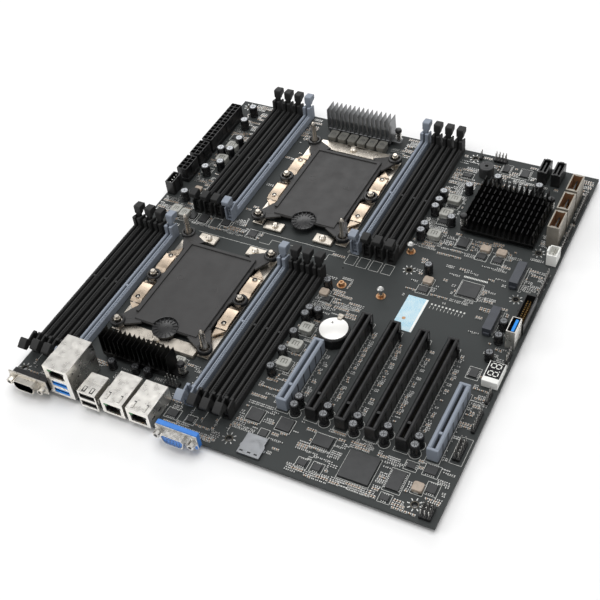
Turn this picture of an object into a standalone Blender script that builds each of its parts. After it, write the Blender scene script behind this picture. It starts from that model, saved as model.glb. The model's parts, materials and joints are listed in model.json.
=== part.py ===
"""Dual-socket server motherboard, built from separate named pieces.

The origin is the centre of the bare board's underside. +X runs along the edge that
carries the outside connectors, +Y runs from that edge into the board, and +Z points
up through the components. All sizes are in metres.
"""

import math

import bmesh
import bpy
from mathutils import Matrix, Vector

# Bare board
BOARD_WIDTH = 0.3048
BOARD_DEPTH = 0.3302
BOARD_THICKNESS = 0.0020
SEAT_GAP = 0.0003  # air between a part and the surface it stands on
CUT_OVERRUN = 0.0010  # how far a cutter runs past the face it opens

MOUNTING_HOLE_RADIUS = 0.0020
MOUNTING_HOLES = (
    (0.0054, 0.0080),
    (0.1638, 0.0102),
    (0.2883, 0.0102),
    (0.2883, 0.1885),
    (0.2883, 0.2375),
    (0.2101, 0.1890),
    (0.2102, 0.3226),
    (0.0080, 0.3238),
)

# Four small tooling holes near the middle of the board
TOOLING_HOLE_RADIUS = 0.0006
TOOLING_HOLES = (
    (0.1454, 0.1541),
    (0.1654, 0.1541),
    (0.1454, 0.1741),
    (0.1654, 0.1741),
)

# Memory slots, four to a bank
SLOT_PITCH = 0.0094
SLOT_LENGTH = 0.1400
SLOT_WIDTH = 0.0066
SLOT_BODY_TOP = 0.0068
TOWER_LENGTH = 0.0082
TOWER_TOP = 0.0134
CARD_GROOVE_WIDTH = 0.0015
CARD_GROOVE_DEPTH = 0.0046
CARD_KEY_LENGTH = 0.0016
CARD_KEY_OFFSET = 0.00425  # from the middle of the slot to the middle of its key
LATCH_CHANNEL_WIDTH = 0.0038
LATCH_CHANNEL_LENGTH = 0.0062
LATCH_CHANNEL_FLOOR = 0.0010
WEB_TOP = 0.0008  # thin strips that tie the slots of a bank together
SLOTS_PER_BANK = 4
BANKS = {  # name, x of the first slot, y of the near end, side that the key is offset to
    "fl": ("dimm_bank_front_left", 0.0040, 0.0225, 1),
    "fr": ("dimm_bank_front_right", 0.1268, 0.0225, 1),
    "rl": ("dimm_bank_rear_left", 0.0356, 0.1895, -1),
    "rr": ("dimm_bank_rear_right", 0.1676, 0.1895, -1),
}

# Memory latches, turning on an axis across the slot
LATCH_PIVOT_INSET = 0.0032
LATCH_PIVOT_HEIGHT = 0.0032
LATCH_HUB_RADIUS = 0.0018
LATCH_STEM_WIDTH = 0.0032
LATCH_STEM_HALF_DEPTH = 0.0015
LATCH_HEAD_WIDTH = 0.0056
LATCH_HEAD_BOTTOM = 0.0113
LATCH_HEAD_TOP = 0.0184
LATCH_HEAD_INNER = -0.0012
LATCH_HEAD_OUTER = 0.0060
REST_OPENING = {  # degrees that a near latch already stands open
    "fl": (28.0, 22.0, 22.0, 22.0),
    "fr": (22.0, 22.0, 22.0, 22.0),
    "rl": (0.0, 0.0, 0.0, 0.0),
    "rr": (0.0, 0.0, 0.0, 0.0),
}

# Processor sockets
SOCKET_CENTRES = {"front": (0.0802, 0.1132), "rear": (0.1200, 0.2454)}
STUD_X = 0.0350
STUD_Y = 0.0480
MIDDLE_STUD_X = 0.0356
STUD_RADIUS = 0.0020
STUD_HOLE_RADIUS = 0.0026
NUT_RADIUS = 0.0027
NUT_BOTTOM = 0.0040
NUT_TOP = 0.0110
TALL_PIN_TOP = 0.0244
FRAME_HALF_WIDTH = 0.0392
FRAME_HALF_DEPTH = 0.0552
FRAME_OPENING_HALF_WIDTH = 0.0298
FRAME_OPENING_HALF_DEPTH = 0.0440
FRAME_TOP = 0.0036
SPRING_INNER_X = 0.0304
SPRING_OUTER_X = 0.0398
SPRING_NEAR_Y = 0.0044
SPRING_FAR_Y = 0.0276
SPRING_BOTTOM = 0.0048
SPRING_TOP = 0.0060
BACKPLATE_THICKNESS = 0.0020
CAP_PLATE_BOTTOM = 0.0046
CAP_PLATE_TOP = 0.0064
CAP_BORDER_HALF_WIDTH = 0.0276
CAP_BORDER_NEAR = -0.0400
CAP_BORDER_FAR = 0.0390
CAP_BORDER_TOP = 0.0081
CAP_PANEL_HALF_WIDTH = 0.0248
CAP_PANEL_NEAR = -0.0400
CAP_PANEL_FAR = 0.0364
CAP_PANEL_TOP = 0.0072
CAP_RING_RADIUS = 0.0054
CAP_RING_HOLE_RADIUS = 0.0034
CAP_RING_TOP = 0.0078
CAP_LOBE_RADIUS = 0.0100
CAP_LOBE_Y = -0.0400
CAP_LOBE_TOP = 0.0089

# Expansion slots
PCIE_FIRST_X = 0.1845
PCIE_PITCH = 0.02032
PCIE_NEAR_Y = 0.0425
PCIE_WIDTH = 0.0075
PCIE_TOP = 0.0112
PCIE_SHORT_LENGTH = 0.0560
PCIE_LONG_LENGTH = 0.0890
PCIE_GROOVE_WIDTH = 0.0020
PCIE_GROOVE_DEPTH = 0.0078
PCIE_KEY_FROM_END = 0.0133
PCIE_KEY_LENGTH = 0.0018
PCIE_END_WALL = 0.0022

# Outside ports in plated housings
USB_MOUTH_HALF_WIDTH = 0.0063
USB_MOUTH_HALF_HEIGHT = 0.0026
USB_MOUTH_DEPTH = 0.0090
USB_TONGUE_HALF_WIDTH = 0.0052
USB_TONGUE_INSET = 0.0008
USB_TONGUE_BOTTOM = 0.0002
USB_TONGUE_TOP = 0.0020
LAN_MOUTH_HALF_WIDTH = 0.0059
LAN_MOUTH_DEPTH = 0.0120
TALL_STACK_LEFT = 0.0357
TALL_STACK_RIGHT = 0.0551
TALL_STACK_FRONT = -0.0020
TALL_STACK_BACK = 0.0274
TALL_STACK_TOP = 0.0270
TALL_STACK_USB_HEIGHTS = (0.0046, 0.0116)
TALL_STACK_LAN_BOTTOM = 0.0172
TALL_STACK_LAN_TOP = 0.0245
SHORT_STACK_LEFT = 0.0615
SHORT_STACK_RIGHT = 0.0753
SHORT_STACK_FRONT = -0.0040
SHORT_STACK_BACK = 0.0132
SHORT_STACK_TOP = 0.0155
SHORT_STACK_USB_HEIGHTS = (0.0046, 0.0118)
LAN_PAIR_CENTRE = 0.0960
LAN_PAIR_PITCH = 0.0196
LAN_PAIR_HALF_WIDTH = 0.0085
LAN_PAIR_FRONT = -0.0026
LAN_PAIR_BACK = 0.0228
LAN_PAIR_TOP = 0.0135
LAN_PAIR_MOUTH_BOTTOM = 0.0022
LAN_PAIR_MOUTH_TOP = 0.0100

# Upright storage ports at the right edge
STORAGE_X = 0.2947
STORAGE_FIRST_Y = 0.2555
STORAGE_PITCH = 0.0212
STORAGE_HALF_WIDTH = 0.0043
STORAGE_HALF_LENGTH = 0.0094
STORAGE_TOP = 0.0190
STORAGE_WALL_X = 0.0013
STORAGE_WALL_Y = 0.0016
STORAGE_FLOOR = 0.0070

# Battery
BATTERY_X = 0.1888
BATTERY_Y = 0.1102
HOLDER_RADIUS = 0.0111
HOLDER_TOP = 0.0084
CELL_SEAT_RADIUS = 0.0104
CELL_SEAT_FLOOR = 0.0058
CELL_RADIUS = 0.0100
CELL_BOTTOM = 0.0062
CELL_TOP = 0.0094
FINGER_GAP_HALF_WIDTH = 0.0040
FINGER_GAP_DEPTH = 0.0090  # from the middle of the cell to where the gap begins
HOLDER_FOOT_HALF_WIDTH = 0.0045
HOLDER_FOOT_TOP = 0.0046
HOLDER_FOOT_END = 0.0132

# D-shaped connectors
D_FLANGE_WIDTH = 0.0306
D_FLANGE_TOP = 0.0125
D_FLANGE_FRONT = -0.0054
D_FLANGE_BACK = -0.0042
D_SHELL_HALF_WIDTH = 0.0085
D_SHELL_HALF_HEIGHT = 0.0042
D_SHELL_SLOPE = 0.0012
D_SHELL_WALL = 0.0006
D_SHELL_FRONT = -0.0104
D_CENTRE_HEIGHT = 0.0066
JACKSCREW_SPREAD = 0.0125
JACKSCREW_RADIUS = 0.0025
JACKSCREW_FRONT = -0.0098


def clear_scene():
    for item in list(bpy.data.objects):
        bpy.data.objects.remove(item, do_unlink=True)


def new_collection(name):
    collection = bpy.data.collections.new(name)
    bpy.context.scene.collection.children.link(collection)
    return collection


def on_board(x, y, height=0.0):
    """World point from its place off the board's left near corner and its top face."""
    return Vector((x - BOARD_WIDTH / 2, y - BOARD_DEPTH / 2, height + BOARD_THICKNESS))


def plain_material(name, colour, roughness, metallic=0.0):
    material = bpy.data.materials.new(name)
    material.use_nodes = True
    shader = material.node_tree.nodes["Principled BSDF"]
    shader.inputs["Base Color"].default_value = (*colour, 1.0)
    shader.inputs["Roughness"].default_value = roughness
    shader.inputs["Metallic"].default_value = metallic
    return material


def shape_from(bm):
    """Put a bmesh into the scene as a shape that can be joined, cut or kept."""
    mesh = bpy.data.meshes.new("shape")
    bm.to_mesh(mesh)
    bm.free()
    shape = bpy.data.objects.new("shape", mesh)
    bpy.context.scene.collection.objects.link(shape)
    return shape


def blocks(*boxes):
    """Separate boxes, each given as x0, x1, y0, y1, z0, z1."""
    bm = bmesh.new()
    for x0, x1, y0, y1, z0, z1 in boxes:
        corners = bmesh.ops.create_cube(bm, size=1.0)["verts"]
        bmesh.ops.scale(bm, vec=Vector((x1 - x0, y1 - y0, z1 - z0)), verts=corners)
        centre = Vector((x0 + x1, y0 + y1, z0 + z1)) / 2
        bmesh.ops.translate(bm, vec=centre, verts=corners)
    return shape_from(bm)


def posts(places, radius, z0, z1, sides=16, top_radius=None):
    """Upright round posts that stand at the given x, y places."""
    bm = bmesh.new()
    for x, y in places:
        ring = bmesh.ops.create_cone(
            bm,
            cap_ends=True,
            segments=sides,
            radius1=radius,
            radius2=radius if top_radius is None else top_radius,
            depth=z1 - z0,
        )["verts"]
        bmesh.ops.translate(bm, vec=Vector((x, y, (z0 + z1) / 2)), verts=ring)
    return shape_from(bm)


def rods(places, radius, y0, y1, sides=12):
    """Round rods along Y, centred on the given x, z places."""
    bm = bmesh.new()
    for x, z in places:
        ring = bmesh.ops.create_cone(
            bm, cap_ends=True, segments=sides, radius1=radius, radius2=radius, depth=y1 - y0
        )["verts"]
        bmesh.ops.rotate(bm, matrix=Matrix.Rotation(math.pi / 2, 3, "X"), verts=ring)
        bmesh.ops.translate(bm, vec=Vector((x, (y0 + y1) / 2, z)), verts=ring)
    return shape_from(bm)


def sheet(outline, start, end, across="Z"):
    """A closed outline pulled from start to end along one axis.

    The outline holds x, y for "Z", y, z for "X" and x, z for "Y".
    """
    bm = bmesh.new()
    corners = [bm.verts.new((u, v, start)) for u, v in outline]
    first = bm.faces.new(corners)
    swept = bmesh.ops.extrude_face_region(bm, geom=[first])["geom"]
    raised = [item for item in swept if isinstance(item, bmesh.types.BMVert)]
    bmesh.ops.translate(bm, vec=Vector((0.0, 0.0, end - start)), verts=raised)
    turns = {
        "Z": Matrix.Identity(3),
        "X": Matrix(((0, 0, 1), (1, 0, 0), (0, 1, 0))),
        "Y": Matrix(((1, 0, 0), (0, 0, 1), (0, 1, 0))),
    }
    bmesh.ops.transform(bm, matrix=turns[across].to_4x4(), verts=bm.verts)
    bmesh.ops.recalc_face_normals(bm, faces=bm.faces)
    return shape_from(bm)


def arc(centre_u, centre_v, radius, first, last, steps):
    """Points along a circle, with the angles in degrees."""
    points = []
    for step in range(steps + 1):
        angle = math.radians(first + (last - first) * step / steps)
        points.append((centre_u + radius * math.cos(angle), centre_v + radius * math.sin(angle)))
    return points


def combined(base, joined=(), cut=(), joined_last=()):
    """Mesh of the base with shapes joined, then others cut away, then others joined."""
    steps = [(shape, "UNION") for shape in joined]
    steps += [(shape, "DIFFERENCE") for shape in cut]
    steps += [(shape, "UNION") for shape in joined_last]
    for shape, operation in steps:
        modifier = base.modifiers.new(operation.lower(), "BOOLEAN")
        modifier.operation = operation
        modifier.solver = "EXACT"
        modifier.object = shape
    bpy.context.view_layer.update()
    evaluated = base.evaluated_get(bpy.context.evaluated_depsgraph_get())
    mesh = bpy.data.meshes.new_from_object(evaluated)
    for shape in [base] + [shape for shape, _ in steps]:
        bpy.data.objects.remove(shape, do_unlink=True)
    return mesh


def add_part(name, mesh, material, place, turn=(0.0, 0.0, 0.0)):
    """Make the named piece from a finished mesh and stand it in its place."""
    mesh.name = name
    if not mesh.materials:
        mesh.materials.append(material)
    mesh.shade_smooth()
    mesh.set_sharp_from_angle(angle=math.radians(30))
    part = bpy.data.objects.new(name, mesh)
    part.location = place
    part.rotation_euler = turn
    PARTS.objects.link(part)
    return part


def board():
    half_width = BOARD_WIDTH / 2
    half_depth = BOARD_DEPTH / 2
    slab = blocks((-half_width, half_width, -half_depth, half_depth, 0.0, BOARD_THICKNESS))
    holes = [(x - half_width, y - half_depth) for x, y in MOUNTING_HOLES]
    low = -CUT_OVERRUN
    high = BOARD_THICKNESS + CUT_OVERRUN
    stud_holes = []
    for centre_x, centre_y in SOCKET_CENTRES.values():
        for x, y in stud_places():
            stud_holes.append((centre_x + x - half_width, centre_y + y - half_depth))
    tooling_holes = [(x - half_width, y - half_depth) for x, y in TOOLING_HOLES]
    mesh = combined(
        slab,
        cut=[
            posts(holes, MOUNTING_HOLE_RADIUS, low, high),
            posts(stud_holes, STUD_HOLE_RADIUS, low, high, sides=12),
            posts(tooling_holes, TOOLING_HOLE_RADIUS, low, high, sides=8),
        ],
    )
    add_part("pcb", mesh, SOLDER_MASK, Vector((0.0, 0.0, 0.0)))


def slot_ends(position):
    """The y positions of the two ends of something mirrored in a memory slot's length."""
    return position, SLOT_LENGTH - position


def dimm_bank(name, first_x, near_y, key_side, material):
    """Four memory slots side by side, tied together by thin strips under their bodies."""
    length = SLOT_LENGTH
    side = [
        (0.0, SEAT_GAP),
        (length, SEAT_GAP),
        (length, TOWER_TOP),
        (length - TOWER_LENGTH, TOWER_TOP),
        (length - TOWER_LENGTH, SLOT_BODY_TOP),
        (TOWER_LENGTH, SLOT_BODY_TOP),
        (TOWER_LENGTH, TOWER_TOP),
        (0.0, TOWER_TOP),
    ]
    over = TOWER_TOP + CUT_OVERRUN
    groove_floor = SLOT_BODY_TOP - CARD_GROOVE_DEPTH
    groove_end = LATCH_CHANNEL_LENGTH + 0.0008
    key_near = (length - CARD_KEY_LENGTH) / 2 + key_side * CARD_KEY_OFFSET
    key_far = key_near + CARD_KEY_LENGTH
    slots = []
    hollows = []
    for index in range(SLOTS_PER_BANK):
        x = index * SLOT_PITCH
        slots.append(sheet(side, x - SLOT_WIDTH / 2, x + SLOT_WIDTH / 2, across="X"))
        left = x - LATCH_CHANNEL_WIDTH / 2
        right = x + LATCH_CHANNEL_WIDTH / 2
        channel_end = LATCH_CHANNEL_LENGTH
        hollows.append((left, right, -CUT_OVERRUN, channel_end, LATCH_CHANNEL_FLOOR, over))
        far_start = length - channel_end
        far_end = length + CUT_OVERRUN
        hollows.append((left, right, far_start, far_end, LATCH_CHANNEL_FLOOR, over))
        left = x - CARD_GROOVE_WIDTH / 2
        right = x + CARD_GROOVE_WIDTH / 2
        hollows.append((left, right, groove_end, key_near, groove_floor, over))
        hollows.append((left, right, key_far, length - groove_end, groove_floor, over))
    last_x = (SLOTS_PER_BANK - 1) * SLOT_PITCH
    strips = blocks(*[(0.0, last_x, y - 0.002, y + 0.002, SEAT_GAP, WEB_TOP) for y in slot_ends(0.03)])
    mesh = combined(strips, joined=slots, cut=[blocks(*hollows)])
    add_part(name, mesh, material, on_board(first_x, near_y))


def latch_mesh():
    """A latch standing upright on its axis, with its thumb pad towards +Y."""
    half_depth = LATCH_STEM_HALF_DEPTH
    hub = arc(0.0, 0.0, LATCH_HUB_RADIUS, -215.0, 35.0, 10)
    stem = [(half_depth, 0.004), (half_depth, 0.0118), (-half_depth, 0.0118), (-half_depth, 0.004)]
    inner = LATCH_HEAD_INNER
    outer = LATCH_HEAD_OUTER
    bottom = LATCH_HEAD_BOTTOM
    top = LATCH_HEAD_TOP
    head = [(inner, bottom), (outer, bottom + 0.0008), (outer, top - 0.0006)]
    head += [(outer - 0.0006, top), (inner + 0.0012, top), (inner, top - 0.0012)]
    stem_shape = sheet(hub + stem, -LATCH_STEM_WIDTH / 2, LATCH_STEM_WIDTH / 2, across="X")
    head_shape = sheet(head, -LATCH_HEAD_WIDTH / 2, LATCH_HEAD_WIDTH / 2, across="X")
    return combined(stem_shape, joined=[head_shape])


def latches(bank, first_x, near_y, black_mesh, grey_mesh, grey_index):
    """Both latches of each slot in a bank, every one with its origin on its axis."""
    for index in range(SLOTS_PER_BANK):
        mesh = grey_mesh if index == grey_index else black_mesh
        material = SLATE_PLASTIC if index == grey_index else BLACK_PLASTIC
        x = first_x + index * SLOT_PITCH
        opening = math.radians(REST_OPENING[bank][index])
        near = on_board(x, near_y + LATCH_PIVOT_INSET, LATCH_PIVOT_HEIGHT)
        far_y = near_y + SLOT_LENGTH - LATCH_PIVOT_INSET
        far = on_board(x, far_y, LATCH_PIVOT_HEIGHT)
        name = f"latch_{bank}_{index + 1}"
        add_part(f"{name}_near", mesh, material, near, (-opening, 0.0, math.pi))
        add_part(f"{name}_far", mesh, material, far)


def stud_places():
    """The six stud places of a socket, from the socket's centre."""
    corners = [(x, y) for x in (-STUD_X, STUD_X) for y in (-STUD_Y, STUD_Y)]
    return corners + [(-MIDDLE_STUD_X, 0.0), (MIDDLE_STUD_X, 0.0)]


def socket_frame_mesh():
    """Steel frame, leaf springs, nuts and tall pins, with the backplate under the board."""
    width = FRAME_HALF_WIDTH
    depth = FRAME_HALF_DEPTH
    corner = 0.006
    outline = [(-width + corner, -depth), (width - corner, -depth), (width, -depth + corner)]
    outline += [(width, depth - corner), (width - corner, depth), (-width + corner, depth)]
    outline += [(-width, depth - corner), (-width, -depth + corner)]
    opening_x = FRAME_OPENING_HALF_WIDTH
    opening_y = FRAME_OPENING_HALF_DEPTH
    plate_top = -BOARD_THICKNESS - SEAT_GAP
    plate_bottom = plate_top - BACKPLATE_THICKNESS
    window = 0.0200
    frame = sheet(outline, SEAT_GAP, FRAME_TOP)
    backplate = sheet(outline, plate_bottom, plate_top)
    opening = blocks((-opening_x, opening_x, -opening_y, opening_y, 0.0, FRAME_TOP + CUT_OVERRUN))
    cut_low = plate_bottom - CUT_OVERRUN
    cut_high = plate_top + CUT_OVERRUN
    back_window = blocks((-window, window, -window, window, cut_low, cut_high))
    studs = posts(stud_places(), STUD_RADIUS, plate_bottom + 0.0005, NUT_BOTTOM, sides=12)
    tall = ((-STUD_X, STUD_Y), (STUD_X, -STUD_Y))
    short = [place for place in stud_places() if place not in tall]
    nuts = posts(short, NUT_RADIUS, NUT_BOTTOM - 0.001, NUT_TOP, sides=6)
    pins = posts(tall, 0.0022, FRAME_TOP - 0.001, TALL_PIN_TOP, sides=12, top_radius=0.0011)
    springs = []
    feet = []
    for side in (-1, 1):
        across = sorted((side * SPRING_INNER_X, side * SPRING_OUTER_X))
        for end in (-1, 1):
            along = sorted((end * SPRING_NEAR_Y, end * SPRING_FAR_Y))
            springs.append((*across, *along, SPRING_BOTTOM, SPRING_TOP))
            foot = sorted((end * (SPRING_FAR_Y - 0.0045), end * (SPRING_FAR_Y - 0.0005)))
            foot_x = sorted((side * (SPRING_INNER_X + 0.001), side * (SPRING_OUTER_X - 0.001)))
            feet.append((*foot_x, *foot, FRAME_TOP - 0.001, SPRING_BOTTOM + 0.0005))
    return combined(
        frame,
        cut=[opening],
        joined_last=[studs, backplate, nuts, pins, blocks(*feet), blocks(*springs)],
    ), back_window


def cut_mesh(mesh, cutters):
    """A copy of a finished mesh with more shapes cut out of it."""
    shape = bpy.data.objects.new("shape", mesh)
    bpy.context.scene.collection.objects.link(shape)
    return combined(shape, cut=cutters)


def socket_body_mesh():
    """The contact field that a processor sits on: a low tray with an open middle."""
    tray = blocks((-0.0285, 0.0285, -0.0385, 0.0385, SEAT_GAP, 0.0040))
    field = blocks((-0.0225, 0.0225, -0.0330, 0.0330, 0.0024, 0.0050))
    window = blocks((-0.0080, 0.0080, -0.0120, 0.0120, 0.0, 0.0050))
    return combined(tray, cut=[field, window])


def socket_cap_mesh():
    """Cover over a socket: sunken panel in a border, four corner arms with rings, one half lobe."""
    waist = 0.0294
    arm = 0.0375
    outline = [(-waist, -0.031), (-waist, 0.031), (-arm, 0.041), (-arm, 0.047), (-0.029, 0.0505)]
    outline += [(0.029, 0.0505), (arm, 0.047), (arm, 0.041), (waist, 0.031), (waist, -0.031)]
    outline += [(arm, -0.041), (arm, -0.047), (0.029, -0.0475), (0.024, -0.041)]
    outline += [(-0.024, -0.041), (-0.029, -0.0475), (-arm, -0.047), (-arm, -0.041)]
    plate = sheet(outline, CAP_PLATE_BOTTOM, CAP_PLATE_TOP)
    corners = stud_places()[:4]
    ring_bottom = CAP_PLATE_BOTTOM + 0.0004
    rings = posts(corners, CAP_RING_RADIUS, ring_bottom, CAP_RING_TOP, sides=20)
    holes = posts(corners, CAP_RING_HOLE_RADIUS, CAP_PLATE_BOTTOM - 0.001, CAP_RING_TOP + 0.001)
    width = CAP_BORDER_HALF_WIDTH
    low = CAP_PLATE_TOP - 0.001
    border = blocks((-width, width, CAP_BORDER_NEAR, CAP_BORDER_FAR, low, CAP_BORDER_TOP))
    lobe = posts([(0.0, CAP_LOBE_Y)], CAP_LOBE_RADIUS, ring_bottom, CAP_LOBE_TOP, sides=24)
    width = CAP_PANEL_HALF_WIDTH
    high = CAP_LOBE_TOP + CUT_OVERRUN
    panel = blocks((-width, width, CAP_PANEL_NEAR, CAP_PANEL_FAR, CAP_PANEL_TOP, high))
    return combined(plate, joined=[rings, border, lobe], cut=[holes, panel])


def sockets():
    frame_mesh, back_window = socket_frame_mesh()
    frame_mesh = cut_mesh(frame_mesh, [back_window])
    body_mesh = socket_body_mesh()
    cap_mesh = socket_cap_mesh()
    for name, (x, y) in SOCKET_CENTRES.items():
        add_part(f"socket_frame_{name}", frame_mesh, NICKEL_STEEL, on_board(x, y))
        add_part(f"socket_body_{name}", body_mesh, DARK_RESIN, on_board(x, y))
        add_part(f"socket_cap_{name}", cap_mesh, MATTE_BLACK_PLASTIC, on_board(x, y))


def finned_heatsink(name, x0, x1, y0, y1, base_bottom, base_top, top, fins, fin_width, material):
    """A base plate with upright fins that run along Y."""
    pitch = (x1 - x0 - fin_width) / (fins - 1)
    gaps = []
    for index in range(fins - 1):
        left = x0 + index * pitch + fin_width
        gaps.append((left, left + pitch - fin_width, y0 - 0.001, y1 + 0.001, base_top, top + 0.001))
    centre = Vector(((x0 + x1) / 2, (y0 + y1) / 2, 0.0))
    body = blocks((x0, x1, y0, y1, base_bottom, top))
    mesh = combined(body, cut=[blocks(*gaps)])
    mesh.transform(Matrix.Translation(-centre))
    add_part(name, mesh, material, on_board(centre.x, centre.y))


def heatsinks():
    vrm_gap = 0.0030
    finned_heatsink(
        "vrm_heatsink_front",
        0.0514, 0.1050, 0.0370, 0.0475, vrm_gap, 0.0062, 0.0220, 15, 0.0014, BLACK_ALUMINIUM,
    )
    finned_heatsink(
        "vrm_heatsink_rear",
        0.0875, 0.1425, 0.3128, 0.3250, vrm_gap, 0.0062, 0.0240, 15, 0.0014, GREY_ALUMINIUM,
    )
    finned_heatsink(
        "chipset_heatsink",
        0.2295, 0.2840, 0.2380, 0.2900, 0.0020, 0.0050, 0.0142, 12, 0.0018, BLACK_ALUMINIUM,
    )


def power_connector(name, near_y, rows):
    """Two columns of square sockets, with a catch ledge on the outer side."""
    pitch = 0.0042
    centre_x = 0.0052
    width = 0.0094
    wall = 0.0006
    length = rows * pitch + 2 * wall
    top = 0.0130
    hollow = 0.0034
    body = blocks((-width / 2, width / 2, 0.0, length, SEAT_GAP, top))
    hollows = []
    for row in range(rows):
        y = wall + (row + 0.5) * pitch
        for x in (-pitch / 2, pitch / 2):
            sides = (x - hollow / 2, x + hollow / 2, y - hollow / 2, y + hollow / 2)
            hollows.append((*sides, top - 0.0100, top + CUT_OVERRUN))
    ledge_y = length / 2
    ledge = blocks((width / 2 - 0.0004, width / 2 + 0.0010, ledge_y - 0.003, ledge_y + 0.003, 0.006, 0.0095))
    mesh = combined(body, joined=[ledge], cut=[blocks(*hollows)])
    add_part(name, mesh, BLACK_PLASTIC, on_board(centre_x, near_y))


def d_outline(grow=0.0):
    """D-shaped shell outline in x, z, wide side up, grown outwards by the given amount."""
    half_width = D_SHELL_HALF_WIDTH + grow
    half_height = D_SHELL_HALF_HEIGHT + grow
    low = D_CENTRE_HEIGHT - half_height
    high = D_CENTRE_HEIGHT + half_height
    narrow = half_width - D_SHELL_SLOPE
    points = [(-narrow + 0.002, low), (narrow - 0.002, low), (narrow, low + 0.0015)]
    points += [(half_width, high - 0.002), (half_width - 0.002, high)]
    points += [(-half_width + 0.002, high), (-half_width, high - 0.002), (-narrow, low + 0.0015)]
    return points


def d_connector(name, centre_x, body_size, hollow, material):
    """Flange, body, D-shaped shell and two jackscrews; a male one has a hollow shell.

    The body size holds its half width, its back and its top.
    """
    body_half, body_back, body_top = body_size
    flange_half = D_FLANGE_WIDTH / 2
    flange_box = (-flange_half, flange_half, D_FLANGE_FRONT, D_FLANGE_BACK, SEAT_GAP, D_FLANGE_TOP)
    body_front = D_FLANGE_BACK - 0.0005
    flange = blocks(flange_box)
    body = blocks((-body_half, body_half, body_front, body_back, SEAT_GAP + 0.0002, body_top))
    shell = sheet(d_outline(), D_SHELL_FRONT, D_FLANGE_FRONT + 0.0005, across="Y")
    screw_places = [(side * JACKSCREW_SPREAD, D_CENTRE_HEIGHT) for side in (-1, 1)]
    screw_back = D_FLANGE_FRONT + 0.0005
    screws = rods(screw_places, JACKSCREW_RADIUS, JACKSCREW_FRONT, screw_back, sides=6)
    cuts = []
    if hollow:
        inside = d_outline(-D_SHELL_WALL)
        cuts.append(sheet(inside, D_SHELL_FRONT - CUT_OVERRUN, D_FLANGE_FRONT, across="Y"))
    mesh = combined(flange, joined=[body, shell, screws], cut=cuts)
    add_part(name, mesh, material, on_board(centre_x, 0.0))


def port_box(name, centre, body, mouths, tongues):
    """A plated port housing with mouths that open at its front face, and tongues in them."""
    mesh = combined(blocks(body), cut=[blocks(*mouths)], joined_last=[blocks(*tongues)])
    add_part(name, mesh, PLATED_STEEL, on_board(centre, 0.0))


def usb_mouth(centre_z, front):
    """The mouth of one USB port, centred on its housing."""
    across = USB_MOUTH_HALF_WIDTH
    up = USB_MOUTH_HALF_HEIGHT
    start = front - CUT_OVERRUN
    return (-across, across, start, front + USB_MOUTH_DEPTH, centre_z - up, centre_z + up)


def usb_tongue(centre_z, front):
    """The contact tongue, joined to the back of its mouth."""
    across = USB_TONGUE_HALF_WIDTH
    start = front + USB_TONGUE_INSET
    end = front + USB_MOUTH_DEPTH + 0.0005
    return (-across, across, start, end, centre_z + USB_TONGUE_BOTTOM, centre_z + USB_TONGUE_TOP)


def lan_mouth(centre_x, front, bottom, top):
    """The mouth of one network port."""
    half = LAN_MOUTH_HALF_WIDTH
    return (centre_x - half, centre_x + half, front - CUT_OVERRUN, front + LAN_MOUTH_DEPTH, bottom, top)


def tall_stack():
    """One network port above two USB ports."""
    front = TALL_STACK_FRONT
    heights = TALL_STACK_USB_HEIGHTS
    half = (TALL_STACK_RIGHT - TALL_STACK_LEFT) / 2
    body = (-half, half, front, TALL_STACK_BACK, SEAT_GAP, TALL_STACK_TOP)
    mouths = [usb_mouth(height, front) for height in heights]
    mouths.append(lan_mouth(0.0, front, TALL_STACK_LAN_BOTTOM, TALL_STACK_LAN_TOP))
    tongues = [usb_tongue(height, front) for height in heights]
    port_box("lan_usb_stack", TALL_STACK_LEFT + half, body, mouths, tongues)


def short_stack():
    """Two USB ports one above the other."""
    front = SHORT_STACK_FRONT
    heights = SHORT_STACK_USB_HEIGHTS
    half = (SHORT_STACK_RIGHT - SHORT_STACK_LEFT) / 2
    body = (-half, half, front, SHORT_STACK_BACK, SEAT_GAP, SHORT_STACK_TOP)
    mouths = [usb_mouth(height, front) for height in heights]
    tongues = [usb_tongue(height, front) for height in heights]
    port_box("usb_stack", SHORT_STACK_LEFT + half, body, mouths, tongues)


def lan_pair():
    """Two network ports side by side, tied together by a thin strip under them."""
    front = LAN_PAIR_FRONT
    half = LAN_PAIR_HALF_WIDTH
    housings = []
    mouths = []
    for x in (-LAN_PAIR_PITCH / 2, LAN_PAIR_PITCH / 2):
        housings.append((x - half, x + half, front, LAN_PAIR_BACK, SEAT_GAP, LAN_PAIR_TOP))
        mouths.append(lan_mouth(x, front, LAN_PAIR_MOUTH_BOTTOM, LAN_PAIR_MOUTH_TOP))
    strip = blocks((-0.0040, 0.0040, 0.0050, 0.0200, SEAT_GAP, 0.0012))
    mesh = combined(strip, joined=[blocks(*housings)], cut=[blocks(*mouths)])
    add_part("lan_port_pair", mesh, PLATED_STEEL, on_board(LAN_PAIR_CENTRE, 0.0))


def edge_ports():
    d_connector("serial_port", 0.0206, (0.0139, 0.0010, 0.0102), True, PLATED_STEEL)
    d_connector("vga_port", 0.1358, (0.0150, -0.0006, 0.0123), False, BLUE_PLASTIC)
    tall_stack()
    short_stack()
    lan_pair()


def expansion_slot(x, length):
    """Body and groove boxes of one expansion slot, from its bank's first slot."""
    half = PCIE_WIDTH / 2
    groove = PCIE_GROOVE_WIDTH / 2
    floor = PCIE_TOP - PCIE_GROOVE_DEPTH
    over = PCIE_TOP + CUT_OVERRUN
    key = PCIE_KEY_FROM_END
    body = (x - half, x + half, 0.0, length, SEAT_GAP, PCIE_TOP)
    grooves = [
        (x - groove, x + groove, PCIE_END_WALL, key, floor, over),
        (x - groove, x + groove, key + PCIE_KEY_LENGTH, length - PCIE_END_WALL, floor, over),
    ]
    return body, grooves


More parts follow.
